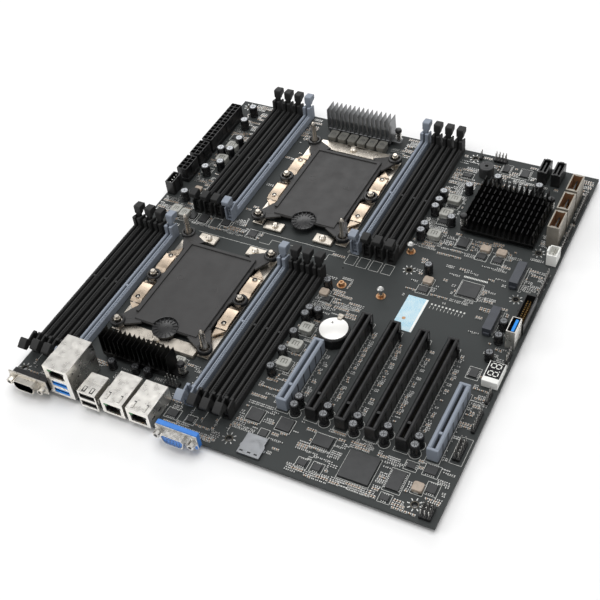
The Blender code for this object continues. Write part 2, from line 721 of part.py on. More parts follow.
def expansion_slots():
    for name, index in (("pcie_x8_left", 0), ("pcie_x8_right", 5)):
        body, grooves = expansion_slot(0.0, PCIE_SHORT_LENGTH)
        mesh = combined(blocks(body), cut=[blocks(*grooves)])
        add_part(name, mesh, SLATE_PLASTIC, on_board(PCIE_FIRST_X + index * PCIE_PITCH, PCIE_NEAR_Y))
    bodies = []
    grooves = []
    for index in range(4):
        body, cuts = expansion_slot(index * PCIE_PITCH, PCIE_LONG_LENGTH)
        bodies.append(body)
        grooves += cuts
    strips = [(0.0, 3 * PCIE_PITCH, y, y + 0.003, SEAT_GAP, WEB_TOP) for y in (0.010, 0.076)]
    mesh = combined(blocks(*strips), joined=[blocks(*bodies)], cut=[blocks(*grooves)])
    add_part("pcie_x16_bank", mesh, BLACK_PLASTIC, on_board(PCIE_FIRST_X + PCIE_PITCH, PCIE_NEAR_Y))


def storage_ports():
    """Three upright storage ports in a row at the right edge, open at the top."""
    half_x = STORAGE_HALF_WIDTH
    half_y = STORAGE_HALF_LENGTH
    in_x = half_x - STORAGE_WALL_X
    in_y = half_y - STORAGE_WALL_Y
    over = STORAGE_TOP + CUT_OVERRUN
    bodies = []
    hollows = []
    for index in range(3):
        y = index * STORAGE_PITCH
        bodies.append((-half_x, half_x, y - half_y, y + half_y, SEAT_GAP, STORAGE_TOP))
        hollows.append((-in_x, in_x, y - in_y, y + in_y, STORAGE_FLOOR, over))
    strip = blocks((-0.0015, 0.0015, 0.0, 2 * STORAGE_PITCH, SEAT_GAP, WEB_TOP))
    mesh = combined(strip, joined=[blocks(*bodies)], cut=[blocks(*hollows)])
    add_part("storage_port_bank", mesh, TIN_STEEL, on_board(STORAGE_X, STORAGE_FIRST_Y))


def battery():
    """Round holder with a finger gap, and the coin cell that lifts out of it."""
    place = on_board(BATTERY_X, BATTERY_Y)
    middle = [(0.0, 0.0)]
    floor = CELL_SEAT_FLOOR
    over = HOLDER_TOP + CUT_OVERRUN
    ring = posts(middle, HOLDER_RADIUS, SEAT_GAP, HOLDER_TOP, sides=32)
    seat = posts(middle, CELL_SEAT_RADIUS, floor, over, sides=32)
    across = FINGER_GAP_HALF_WIDTH
    start = -HOLDER_RADIUS - CUT_OVERRUN
    gap = blocks((-across, across, start, -FINGER_GAP_DEPTH, floor, over))
    across = HOLDER_FOOT_HALF_WIDTH
    foot = blocks((-across, across, 0.0095, HOLDER_FOOT_END, SEAT_GAP, HOLDER_FOOT_TOP))
    mesh = combined(ring, joined=[foot], cut=[seat, gap])
    add_part("battery_holder", mesh, BLACK_PLASTIC, place)
    cell = posts(middle, CELL_RADIUS, CELL_BOTTOM, CELL_TOP, sides=32)
    add_part("coin_cell", combined(cell), CELL_STEEL, place)


def main():
    board()
    black_latch = latch_mesh()
    grey_latch = black_latch.copy()
    for bank, (name, first_x, near_y, key_side) in BANKS.items():
        grey_index = 0 if bank in ("fr", "rr") else SLOTS_PER_BANK - 1
        dimm_bank(name, first_x, near_y, key_side, BLACK_PLASTIC)
        latches(bank, first_x, near_y, black_latch, grey_latch, grey_index)
    sockets()
    heatsinks()
    power_connector("power_24_pin", 0.2572, 12)
    power_connector("power_8_pin_far", 0.2376, 4)
    power_connector("power_8_pin_near", 0.2176, 4)
    edge_ports()
    expansion_slots()
    storage_ports()
    battery()


clear_scene()
PARTS = new_collection("motherboard")
SOLDER_MASK = plain_material("solder_mask", (0.025, 0.026, 0.027), 0.55)
BLACK_PLASTIC = plain_material("black_plastic", (0.012, 0.012, 0.013), 0.45)
MATTE_BLACK_PLASTIC = plain_material("matte_black_plastic", (0.030, 0.030, 0.032), 0.60)
SLATE_PLASTIC = plain_material("slate_plastic", (0.240, 0.270, 0.320), 0.50)
DARK_RESIN = plain_material("dark_resin", (0.015, 0.014, 0.013), 0.55)
BLUE_PLASTIC = plain_material("blue_plastic", (0.040, 0.150, 0.600), 0.45)
NICKEL_STEEL = plain_material("nickel_steel", (0.620, 0.580, 0.520), 0.32, 1.0)
PLATED_STEEL = plain_material("plated_steel", (0.700, 0.690, 0.670), 0.25, 1.0)
TIN_STEEL = plain_material("tin_steel", (0.520, 0.470, 0.400), 0.35, 1.0)
CELL_STEEL = plain_material("cell_steel", (0.750, 0.740, 0.720), 0.28, 1.0)
BLACK_ALUMINIUM = plain_material("black_aluminium", (0.014, 0.014, 0.015), 0.50, 0.6)
GREY_ALUMINIUM = plain_material("grey_aluminium", (0.230, 0.235, 0.240), 0.42, 0.9)
main()
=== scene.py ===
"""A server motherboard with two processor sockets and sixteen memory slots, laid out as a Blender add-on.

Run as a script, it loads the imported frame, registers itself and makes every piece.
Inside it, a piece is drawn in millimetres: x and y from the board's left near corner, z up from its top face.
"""

import json
import math
import random

import bmesh
import bpy
from mathutils import Matrix, Vector


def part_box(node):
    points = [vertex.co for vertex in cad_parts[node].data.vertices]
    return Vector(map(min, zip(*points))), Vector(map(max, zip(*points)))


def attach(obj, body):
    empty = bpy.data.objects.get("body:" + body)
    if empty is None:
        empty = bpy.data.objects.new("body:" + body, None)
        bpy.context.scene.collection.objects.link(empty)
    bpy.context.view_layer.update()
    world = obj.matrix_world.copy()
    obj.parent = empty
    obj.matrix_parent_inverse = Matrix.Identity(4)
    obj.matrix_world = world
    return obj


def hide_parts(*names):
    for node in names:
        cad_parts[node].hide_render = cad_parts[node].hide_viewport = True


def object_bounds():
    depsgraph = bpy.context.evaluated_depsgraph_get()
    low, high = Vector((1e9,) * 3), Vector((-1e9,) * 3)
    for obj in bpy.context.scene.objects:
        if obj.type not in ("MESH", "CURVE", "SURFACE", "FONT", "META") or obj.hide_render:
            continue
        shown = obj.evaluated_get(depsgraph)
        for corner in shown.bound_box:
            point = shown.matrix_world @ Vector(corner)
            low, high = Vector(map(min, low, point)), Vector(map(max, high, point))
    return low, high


bl_info = {
    "name": "Server Motherboard",
    "version": (1, 0, 0),
    "blender": (4, 5, 0),
    "location": "View3D > Sidebar > Motherboard",
    "description": "Makes a server motherboard piece by piece around its frame",
    "category": "Object",
}

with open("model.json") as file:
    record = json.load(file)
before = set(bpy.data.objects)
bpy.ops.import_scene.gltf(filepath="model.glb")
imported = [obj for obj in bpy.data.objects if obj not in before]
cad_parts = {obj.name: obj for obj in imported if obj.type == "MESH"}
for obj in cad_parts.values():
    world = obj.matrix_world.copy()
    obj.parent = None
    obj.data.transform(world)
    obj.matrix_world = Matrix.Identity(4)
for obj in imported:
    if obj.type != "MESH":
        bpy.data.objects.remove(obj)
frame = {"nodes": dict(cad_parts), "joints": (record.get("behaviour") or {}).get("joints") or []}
CAD_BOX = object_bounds()

MILLIMETRE = 0.001
BOARD_LOW, BOARD_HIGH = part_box("pcb")
BOARD_CORNER = Vector((BOARD_LOW.x, BOARD_LOW.y, BOARD_HIGH.z))
TO_FRAME = Matrix.Translation(BOARD_CORNER) @ Matrix.Scale(MILLIMETRE, 4)
BOARD_THICKNESS = (BOARD_HIGH.z - BOARD_LOW.z) / MILLIMETRE

SILK = (0.01, 0.06)  # printed lines, lying just proud of the board

# Middles of the eight mounting holes
MOUNTING_HOLES = (
    (5.4, 8.0), (163.8, 10.2), (288.3, 10.2), (288.3, 188.5), (288.3, 237.5), (210.1, 189.0),
    (210.2, 322.6), (8.0, 323.8),
)

# Expansion slots: x of the first one's middle, and the distance to the next
FIRST_SLOT_X = 184.5
EXPANSION_PITCH = 20.32


def reach(node):
    """The x, y and z reach of a CAD node in the board's own millimetres."""
    low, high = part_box(node)
    low = (low - BOARD_CORNER) / MILLIMETRE
    high = (high - BOARD_CORNER) / MILLIMETRE
    return (low.x, high.x), (low.y, high.y), (low.z, high.z)


def about(middle, half):
    """A pair of coordinates at equal distances from a middle."""
    return (middle - half, middle + half)


# ---------------------------------------------------------------- finishes


def linear(colour):
    """A colour given as 0 to 255 in sRGB, turned into linear values."""
    values = []
    for part in colour:
        part = part / 255.0
        values.append(part / 12.92 if part <= 0.04045 else ((part + 0.055) / 1.055) ** 2.4)
    return (*values, 1.0)


class Recipe:
    """Node by node, the recipe of one finish, on Object coordinates."""

    def __init__(self, name):
        self.material = bpy.data.materials.new(name)
        self.material.use_nodes = True
        self.tree = self.material.node_tree
        self.shader = self.tree.nodes["Principled BSDF"]
        self.place = self.node("ShaderNodeTexCoord").outputs["Object"]

    def node(self, kind, **settings):
        made = self.tree.nodes.new(kind)
        for key, value in settings.items():
            setattr(made, key, value)
        return made

    def link(self, start, end):
        self.tree.links.new(start, end)

    def noise(self, size, detail=2.0):
        """Noise whose patches are about size millimetres across."""
        made = self.node("ShaderNodeTexNoise")
        made.inputs["Scale"].default_value = 1.0 / (size * MILLIMETRE)
        made.inputs["Detail"].default_value = detail
        self.link(self.place, made.inputs["Vector"])
        return made.outputs["Fac"]

    def ranged(self, value, low, high, start=0.3, end=0.7):
        made = self.node("ShaderNodeMapRange")
        made.inputs["From Min"].default_value = start
        made.inputs["From Max"].default_value = end
        made.inputs["To Min"].default_value = low
        made.inputs["To Max"].default_value = high
        self.link(value, made.inputs["Value"])
        return made.outputs["Result"]

    def maths(self, operation, first, second=None):
        made = self.node("ShaderNodeMath", operation=operation)
        for socket, value in ((0, first), (1, second)):
            if value is None:
                continue
            if isinstance(value, (int, float)):
                made.inputs[socket].default_value = value
            else:
                self.link(value, made.inputs[socket])
        return made.outputs["Value"]

    def mixed(self, share, first, second):
        made = self.node("ShaderNodeMix", data_type="RGBA")
        if isinstance(share, (int, float)):
            made.inputs["Factor"].default_value = share
        else:
            self.link(share, made.inputs["Factor"])
        for socket, value in (("A", first), ("B", second)):
            target = [s for s in made.inputs if s.name == socket and s.type == "RGBA"][0]
            if isinstance(value, tuple):
                target.default_value = value
            else:
                self.link(value, target)
        return [s for s in made.outputs if s.type == "RGBA"][0]

    def bump(self, height, depth, strength=0.6, under=None):
        """Relief of depth millimetres."""
        made = self.node("ShaderNodeBump")
        made.inputs["Strength"].default_value = strength
        made.inputs["Distance"].default_value = depth * MILLIMETRE
        self.link(height, made.inputs["Height"])
        if under is not None:
            self.link(under, made.inputs["Normal"])
        return made.outputs["Normal"]

    def edge_highlights(self, radius, spread):
        """One on outer edges, in patches, nothing elsewhere: a painted edge highlight."""
        rounded = self.node("ShaderNodeBevel", samples=4)
        rounded.inputs["Radius"].default_value = radius * MILLIMETRE
        flat = self.node("ShaderNodeNewGeometry")
        product = self.node("ShaderNodeVectorMath", operation="DOT_PRODUCT")
        self.link(rounded.outputs["Normal"], product.inputs[0])
        self.link(flat.outputs["Normal"], product.inputs[1])
        turned_away = self.ranged(product.outputs["Value"], 1.0, 0.0, 0.80, 0.985)
        patches = self.ranged(self.noise(spread, 3.0), 0.15, 1.0, 0.38, 0.62)
        return self.maths("MULTIPLY", turned_away, patches)


PLAIN_FINISHES = {
    # name: colour, roughness, metallic, mottle share, mottle size, grain size, grain depth, painted edge
    # highlight colour
    "black_plastic": ((26, 26, 27), 0.40, 0.0, 0.30, 9.0, 0.5, 0.012, (78, 78, 80)),
    "connector_black": ((20, 20, 21), 0.34, 0.0, 0.30, 6.0, 0.6, 0.010, (62, 62, 64)),
    "socket_black": ((44, 43, 43), 0.52, 0.0, 0.08, 22.0, 0.22, 0.012, (84, 83, 82)),
    "socket_ring_black": ((24, 24, 25), 0.30, 0.0, 0.20, 10.0, 0.5, 0.008, (70, 70, 72)),
    "slate_plastic": ((122, 132, 148), 0.38, 0.0, 0.12, 12.0, 0.5, 0.010, (176, 184, 196)),
    "black_aluminium": ((16, 16, 17), 0.42, 0.35, 0.30, 6.0, 0.35, 0.014, (96, 96, 98)),
    "grey_aluminium": ((46, 44, 42), 0.62, 0.0, 0.16, 7.0, 0.5, 0.004, (92, 90, 86)),
    "slot_tin": ((92, 86, 76), 0.36, 0.8, 0.12, 2.0, 0.5, 0.004, None),
    "dark_slate": ((60, 63, 70), 0.40, 0.0, 0.12, 8.0, 0.5, 0.008, (96, 100, 110)),
    "chip_resin": ((44, 45, 46), 0.48, 0.0, 0.12, 6.0, 0.16, 0.010, (74, 75, 76)),
    "choke_ferrite": ((158, 158, 152), 0.52, 0.0, 0.16, 2.5, 0.25, 0.030, (196, 196, 190)),
    "dark_ferrite": ((98, 97, 92), 0.50, 0.10, 0.16, 2.5, 0.25, 0.026, (150, 149, 142)),
    "inductor_resin": ((164, 150, 136), 0.55, 0.0, 0.14, 2.0, 0.25, 0.030, (194, 182, 170)),
    "nickel_plate": ((218, 210, 198), 0.28, 1.0, 0.04, 14.0, 1.2, 0.0006, None),
    "spring_steel": ((206, 188, 168), 0.32, 1.0, 0.05, 10.0, 0.9, 0.0006, None),
    "bright_steel": ((214, 212, 208), 0.26, 1.0, 0.06, 5.0, 0.9, 0.0006, None),
    "shield_tin": ((246, 243, 237), 0.30, 1.0, 0.03, 11.0, 1.4, 0.0006, None),
    "reader_steel": ((150, 152, 155), 0.34, 1.0, 0.06, 9.0, 1.4, 0.0006, None),
    "zinc_shell": ((214, 209, 200), 0.32, 1.0, 0.06, 5.0, 0.9, 0.0008, None),
    "solder": ((196, 196, 194), 0.30, 0.85, 0.14, 1.2, 0.6, 0.008, None),
    "contact_gold": ((212, 170, 104), 0.24, 1.0, 0.10, 2.0, 0.4, 0.006, None),
    "brass": ((196, 156, 120), 0.32, 1.0, 0.12, 3.0, 0.6, 0.004, None),
    "can_sleeve": ((22, 22, 24), 0.24, 0.0, 0.20, 4.0, 0.6, 0.006, None),
    "can_aluminium": ((150, 152, 155), 0.24, 1.0, 0.08, 1.6, 0.6, 0.004, None),
    "ceramic_tan": ((150, 122, 98), 0.50, 0.0, 0.20, 1.4, 0.2, 0.012, None),
    "ceramic_black": ((34, 34, 36), 0.40, 0.0, 0.20, 1.4, 0.2, 0.010, None),
    "print_white": ((206, 206, 202), 0.60, 0.0, 0.16, 1.4, 0.3, 0.008, None),
    "white_plastic": ((232, 232, 228), 0.42, 0.0, 0.05, 6.0, 0.5, 0.010, None),
    "cream_plastic": ((150, 144, 134), 0.40, 0.5, 0.12, 5.0, 0.5, 0.010, (186, 178, 160)),
    "port_blue": ((58, 124, 206), 0.36, 0.0, 0.10, 6.0, 0.5, 0.010, (110, 164, 226)),
    "usb_blue": ((18, 134, 224), 0.34, 0.0, 0.08, 5.0, 0.5, 0.008, None),
    "insert_brown": ((150, 112, 82), 0.42, 0.0, 0.16, 4.0, 0.4, 0.010, None),
    # Black for dark parts, and painted shade inside mouths, recesses, holes and cut-outs
    "black_and_painted_shade": ((12, 12, 13), 0.55, 0.0, 0.20, 4.0, 0.4, 0.010, None),
    "lamp_green": ((36, 120, 62), 0.28, 0.0, 0.10, 2.0, 0.4, 0.006, None),
    "digit_white": ((236, 236, 230), 0.36, 0.0, 0.05, 3.0, 0.4, 0.006, None),
    "film_black": ((18, 19, 22), 0.16, 0.0, 0.10, 5.0, 0.6, 0.004, None),
}


def plain_finish(name):
    """A finish with mottled colour, uneven gloss and a fine grain, and a painted highlight on its outer edges
    where it has one.
    """
    colour, roughness, metallic, mottle, mottle_size, grain_size, grain_depth, edge_highlight = PLAIN_FINISHES[name]
    recipe = Recipe(name)
    base = linear(colour)
    darker = tuple(part * (1.0 - mottle) for part in base[:3]) + (1.0,)
    lighter = tuple(min(1.0, part * (1.0 + mottle)) for part in base[:3]) + (1.0,)
    patches = recipe.ranged(recipe.noise(mottle_size, 4.0), 0.0, 1.0)
    shade = recipe.mixed(patches, darker, lighter)
    if edge_highlight:
        # Lighter outer edges, in patches: painted edge highlight
        shade = recipe.mixed(recipe.edge_highlights(0.22, 3.0), shade, linear(edge_highlight))
    recipe.link(shade, recipe.shader.inputs["Base Color"])
    gloss = recipe.ranged(recipe.noise(mottle_size * 0.45, 3.0), roughness - 0.07, roughness + 0.09)
    recipe.link(gloss, recipe.shader.inputs["Roughness"])
    relief = recipe.bump(recipe.noise(grain_size, 2.0), grain_depth)
    recipe.link(relief, recipe.shader.inputs["Normal"])
    recipe.shader.inputs["Metallic"].default_value = metallic
    return recipe.material


def board_finish(name):
    """Black solder mask over runs of parallel traces and plugged holes, with bare laminate at the edges."""
    recipe = Recipe(name)
    colours = bpy.context.scene.motherboard_colours
    mask = (*colours.solder_mask, 1.0)
    copper_under = tuple(part * 1.9 for part in mask[:3]) + (1.0,)
    cells = recipe.node("ShaderNodeTexVoronoi", feature="F1", distance="MANHATTAN")
    cells.inputs["Scale"].default_value = 1.0 / (17.0 * MILLIMETRE)
    recipe.link(recipe.place, cells.inputs["Vector"])
    pick = recipe.node("ShaderNodeSeparateColor")
    recipe.link(cells.outputs["Color"], pick.inputs["Color"])
    runs = None
    for direction, turn in (("across", 0.0), ("along", math.pi / 2), ("slanted", math.pi / 4)):
        mapping = recipe.node("ShaderNodeMapping")
        mapping.inputs["Rotation"].default_value = (0.0, 0.0, turn)
        recipe.link(recipe.place, mapping.inputs["Vector"])
        wave = recipe.node("ShaderNodeTexWave", wave_type="BANDS", bands_direction="X")
        wave.label = direction
        wave.inputs["Scale"].default_value = 1.0 / (1.9 * MILLIMETRE * 2.0)
        wave.inputs["Distortion"].default_value = 0.0
        recipe.link(mapping.outputs["Vector"], wave.inputs["Vector"])
        lines = recipe.ranged(wave.outputs["Fac"], 0.0, 1.0, 0.62, 0.82)
        channel = {"across": "Red", "along": "Green", "slanted": "Blue"}[direction]
        patch = recipe.ranged(pick.outputs[channel], 0.0, 1.0, 0.66, 0.68)
        part = recipe.maths("MULTIPLY", lines, patch)
        runs = part if runs is None else recipe.maths("MAXIMUM", runs, part)
    dots = recipe.node("ShaderNodeTexVoronoi", feature="F1")
    dots.inputs["Scale"].default_value = 1.0 / (2.6 * MILLIMETRE)
    dots.inputs["Randomness"].default_value = 0.55
    recipe.link(recipe.place, dots.inputs["Vector"])
    plugged = recipe.ranged(dots.outputs["Distance"], 1.0, 0.0, 0.10, 0.15)
    where = recipe.ranged(recipe.noise(26.0, 2.0), 0.0, 1.0, 0.46, 0.52)
    plugged = recipe.maths("MULTIPLY", plugged, where)
    drift = recipe.ranged(recipe.noise(60.0, 3.0), 0.0, 0.5)
    shade = recipe.mixed(drift, mask, copper_under)
    shade = recipe.mixed(
        recipe.maths("MULTIPLY", runs, 0.9), shade, tuple(part * 2.6 for part in mask[:3]) + (1.0,),
    )
    pale = tuple(min(1.0, part * 7.0) for part in mask[:3]) + (1.0,)
    shade = recipe.mixed(recipe.maths("MULTIPLY", plugged, 0.75), shade, pale)
    facing = recipe.node("ShaderNodeNewGeometry")
    split = recipe.node("ShaderNodeSeparateXYZ")
    recipe.link(facing.outputs["Normal"], split.inputs["Vector"])
    flatness = recipe.maths("ABSOLUTE", split.outputs["Z"])
    edge = recipe.ranged(flatness, 1.0, 0.0, 0.4, 0.6)
    laminate = recipe.mixed(
        recipe.ranged(recipe.noise(3.0, 3.0), 0.0, 1.0), linear((120, 112, 84)), linear((156, 148, 116)),
    )
    shade = recipe.mixed(edge, shade, laminate)
    recipe.link(shade, recipe.shader.inputs["Base Color"])
    recipe.shader.inputs["Specular IOR Level"].default_value = 0.22
    gloss = recipe.ranged(recipe.noise(30.0, 4.0), 0.32, 0.46)
    recipe.link(gloss, recipe.shader.inputs["Roughness"])
    relief = recipe.bump(recipe.maths("MAXIMUM", runs, plugged), 0.03, 0.5)
    relief = recipe.bump(recipe.noise(0.7, 2.0), 0.006, 0.4, relief)
    recipe.link(relief, recipe.shader.inputs["Normal"])
    return recipe.material


def label_finish(name):
    """A pale printed label with a soft blue security pattern and no lettering."""
    recipe = Recipe(name)
    wave = recipe.node("ShaderNodeTexWave", wave_type="RINGS", rings_direction="Z")
    wave.inputs["Scale"].default_value = 1.0 / (2.2 * MILLIMETRE)
    wave.inputs["Distortion"].default_value = 5.0
    wave.inputs["Detail Scale"].default_value = 3.0
    recipe.link(recipe.place, wave.inputs["Vector"])
    tint = recipe.ranged(wave.outputs["Fac"], 0.0, 0.85, 0.2, 0.8)
    patches = recipe.ranged(recipe.noise(6.0, 3.0), 0.3, 1.0)
    shade = recipe.mixed(
        recipe.maths("MULTIPLY", tint, patches), linear((206, 222, 226)), linear((84, 178, 214)),
    )
    recipe.link(shade, recipe.shader.inputs["Base Color"])
    recipe.link(recipe.ranged(recipe.noise(8.0, 2.0), 0.28, 0.42), recipe.shader.inputs["Roughness"])
    recipe.link(recipe.bump(recipe.noise(2.5, 3.0), 0.02), recipe.shader.inputs["Normal"])
    return recipe.material


def cell_finish(name):
    """Polished steel face of a coin cell with ring marks from turning."""
    recipe = Recipe(name)
    shade = recipe.mixed(
        recipe.ranged(recipe.noise(5.0, 4.0), 0.0, 1.0), linear((232, 230, 226)), linear((206, 203, 198)),
    )
    recipe.link(shade, recipe.shader.inputs["Base Color"])
    recipe.link(recipe.ranged(recipe.noise(1.2, 4.0), 0.20, 0.36), recipe.shader.inputs["Roughness"])
    recipe.link(recipe.bump(recipe.noise(0.9, 3.0), 0.012), recipe.shader.inputs["Normal"])
    recipe.shader.inputs["Metallic"].default_value = 0.9
    return recipe.material


SPECIAL_FINISHES = {"solder_mask": board_finish, "printed_label": label_finish, "cell_steel": cell_finish}


def finish(name):
    """The material of that name, made the first time that it is asked for."""
    if name in bpy.data.materials:
        return bpy.data.materials[name]
    return SPECIAL_FINISHES.get(name, plain_finish)(name)


# ---------------------------------------------------------------- shaping


def dress(bm, corners, index, edge):
    """Give the faces round some corners their finish, and round their edges over."""
    faces = list({face for corner in corners for face in corner.link_faces})
    for face in faces:
        face.material_index = index
    if edge:
        edges = list({e for corner in corners for e in corner.link_edges})
        bmesh.ops.bevel(
            bm, geom=edges, offset=edge, offset_type="OFFSET", segments=1, profile=0.5, affect="EDGES",
            material=-1, clamp_overlap=True,
        )
    return faces


def block(bm, x, y, z, index=0, edge=0.0, turn=None):
    """A box between three pairs of coordinates."""
    middle = Vector((x[0] + x[1], y[0] + y[1], z[0] + z[1])) / 2
    size = (x[1] - x[0], y[1] - y[0], z[1] - z[0], 1.0)
    matrix = Matrix.Translation(middle) @ Matrix.Diagonal(size)
    if turn is not None:
        matrix = turn @ matrix
    corners = bmesh.ops.create_cube(bm, size=1.0, matrix=matrix)["verts"]
    return dress(bm, corners, index, edge)


def rod(bm, start, end, radius, index=0, sides=16, end_radius=None, edge=0.0):
    """A straight round bar, tapered if it is given a second radius."""
    start, end = Vector(start), Vector(end)
    along = end - start
    matrix = Matrix.Translation((start + end) / 2) @ along.to_track_quat("Z", "Y").to_matrix().to_4x4()
    last = radius if end_radius is None else end_radius
    made = bmesh.ops.create_cone(
        bm, cap_ends=True, segments=sides, radius1=radius, radius2=last, depth=along.length, matrix=matrix
    )
    return dress(bm, made["verts"], index, edge)


def post(bm, x, y, z, radius, index=0, sides=16, top_radius=None, edge=0.0):
    """An upright round bar."""
    return rod(bm, (x, y, z[0]), (x, y, z[1]), radius, index, sides, top_radius, edge)


def extruded(bm, outline, along, index=0, edge=0.0):
    """A flat outline pushed along a straight line into a solid."""
    base = bm.faces.new([bm.verts.new(point) for point in outline])
    grown = bmesh.ops.extrude_face_region(bm, geom=[base])["geom"]
    moved = [item for item in grown if isinstance(item, bmesh.types.BMVert)]
    bmesh.ops.translate(bm, vec=Vector(along), verts=moved)
    corners = moved + list(base.verts)
    return dress(bm, corners, index, edge)


def plate(bm, outline, z, index=0, edge=0.0):
    """A flat outline in x and y, between two heights."""
    return extruded(bm, [(x, y, z[0]) for x, y in outline], (0.0, 0.0, z[1] - z[0]), index, edge)


def turned(bm, x, y, profile, index=0, sides=20):
    """A solid turned on an upright axis from its half profile of radius and height, bottom to top."""
    points = [bm.verts.new((x + radius, y, height)) for radius, height in profile]
    edges = [bm.edges.new(pair) for pair in zip(points, points[1:])]
    made = bmesh.ops.spin(
        bm, geom=points + edges, cent=(x, y, 0.0), axis=(0.0, 0.0, 1.0), angle=math.tau, steps=sides,
        use_merge=True, use_duplicate=False,
    )
    corners = {v for item in made["geom_last"] if isinstance(item, bmesh.types.BMVert) for v in [item]}
    island = set(points) | corners
    frontier = list(island)
    while frontier:
        grown = {e.other_vert(v) for v in frontier for e in v.link_edges} - island
        island |= grown
        frontier = list(grown)
    faces = list({face for corner in island for face in corner.link_faces})
    for face in faces:
        face.material_index = index
    bmesh.ops.remove_doubles(bm, verts=list(island), dist=0.0005)
    return [face for face in faces if face.is_valid]


def looped(profile):
    """A profile that closes on itself, for a turned ring."""
    return [*profile, profile[0]]


def face_towards(faces, direction):
    """The face among some that looks furthest in a direction."""
    direction = Vector(direction)
    return max((face for face in faces if face.is_valid), key=lambda face: face.normal.dot(direction))


def hollow(bm, face, wall, depth, inside=None):
    """Sink a face into its solid, leaving a wall round it."""
    normal = face.normal.copy()
    bmesh.ops.inset_individual(bm, faces=[face], thickness=wall, depth=0.0, use_even_offset=True)
    sunk = bmesh.ops.extrude_discrete_faces(bm, faces=[face])["faces"][0]
    bmesh.ops.translate(bm, vec=normal * -depth, verts=list(sunk.verts))
    if inside is not None:
        sunk.material_index = inside
        for edge in sunk.edges:
            for side in edge.link_faces:
                side.material_index = inside
    return sunk


def stamp(bm, mesh, matrix):
    """Add a copy of a mesh, moved by a matrix."""
    before = len(bm.verts)
    bm.from_mesh(mesh)
    bm.verts.ensure_lookup_table()
    bmesh.ops.transform(bm, matrix=matrix, verts=bm.verts[before:])


def keep(bm, name, finishes, body="board", stands_for=()):
    """Turn a bmesh in board millimetres into a finished piece that rides on a body."""
    bmesh.ops.recalc_face_normals(bm, faces=bm.faces)
    bmesh.ops.transform(bm, matrix=TO_FRAME, verts=bm.verts)
    mesh = bpy.data.meshes.new(name)
    bm.to_mesh(mesh)
    bm.free()
    for each in finishes:
        mesh.materials.append(finish(each))
    mesh.shade_smooth()
    mesh.set_sharp_from_angle(angle=math.radians(28.0))
    piece = bpy.data.objects.new(name, mesh)
    bpy.context.scene.collection.objects.link(piece)
    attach(piece, body)
    if stands_for:
        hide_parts(*stands_for)
    return piece


# ---------------------------------------------------------------- shared small shapes


def capacitor(bm, x, y, radius=3.15, height=10.0, sleeve=0, metal=1):
    """A can capacitor: black sleeve, grooved foot, and a bare top with its vent cross in dark bars, painted
    shade for the scored grooves.
    """
    turned(
        bm,
        x,
        y,
        [
            (0.0, 0.2), (radius, 0.2), (radius, 1.2), (radius * 0.92, 1.6), (radius, 2.0),
            (radius, height - 0.5), (radius * 0.9, height - 0.1), (radius * 0.82, height - 0.1),
            (radius * 0.82, height - 0.3), (0.0, height - 0.3),
        ],
        sleeve,
        18,
    )
    turned(
        bm, x, y,
        [(0.0, height - 0.4), (radius * 0.8, height - 0.4), (radius * 0.74, height), (0.0, height)], metal,
        18,
    )
    # The vent cross is dark bars in the sleeve's black: painted shade in the scored grooves
    for turn in (0.3, 0.3 + math.pi / 2):
        groove = Matrix.Translation((x, y, 0.0)) @ Matrix.Rotation(turn, 4, "Z")
        block(
            bm, about(0.0, radius * 0.6), about(0.0, 0.16), (height - 0.1, height + 0.02), sleeve,
            turn=groove,
        )


def screw_head(bm, x, y, z, radius, index):
    """A domed screw head with a cross slot."""
    shoulder, crown = z + radius * 0.45, z + radius * 0.8
    profile = [(0.0, z), (radius, z), (radius, shoulder), (radius * 0.6, crown), (0.0, z + radius * 0.85)]
    turned(bm, x, y, profile, index, 14)


def hex_post(bm, start, end, radius, index):
    """A six-sided standing or lying nut with softened edges."""
    rod(bm, start, end, radius, index, 6, edge=radius * 0.08)


def choke(bm, x, y, half_x, half_y, height, body=0, metal=1):
    """A pressed choke: a block with clipped corners, end terminals and a shallow round mark."""
    cut = min(half_x, half_y) * 0.28
    outline = [
        (x - half_x + cut, y - half_y), (x + half_x - cut, y - half_y), (x + half_x, y - half_y + cut),
        (x + half_x, y + half_y - cut), (x + half_x - cut, y + half_y), (x - half_x + cut, y + half_y),
        (x - half_x, y + half_y - cut), (x - half_x, y - half_y + cut),
    ]
    plate(bm, outline, (0.3, height), body, edge=0.3)
    for side in (-1, 1):
        block(bm, about(x, half_x * 0.45), about(y + side * half_y, 0.35), (0.05, height * 0.4), metal, 0.08)


def chip(bm, x, y, half_x, half_y, leads_on="", height=1.3, body=0, metal=1, pitch=1.27):
    """A moulded chip with a rim, a pin-one dimple, and bent leads on the named sides."""
    faces = block(bm, about(x, half_x), about(y, half_y), (0.12, height), body)
    top = face_towards(faces, (0, 0, 1))
    hollow(bm, top, min(half_x, half_y) * 0.16, 0.05)
    post(bm, x - half_x * 0.6, y - half_y * 0.6, (height - 0.05, height + 0.01), 0.45, body, 10)
    for side in leads_on:
        across = side in "WE"
        run = half_y if across else half_x
        count = max(2, int(run * 2 / pitch))
        for number in range(count):
            along = (number - (count - 1) / 2) * pitch
            out = (half_x if across else half_y) * (1 if side in "EN" else -1)
            sign = 1 if out > 0 else -1
            foot = sorted((out, out + sign * 1.1))
            if across:
                block(bm, (x + foot[0], x + foot[1]), about(y + along, pitch * 0.22), (0.02, 0.35), metal)
            else:
                block(bm, about(x + along, pitch * 0.22), (y + foot[0], y + foot[1]), (0.02, 0.35), metal)


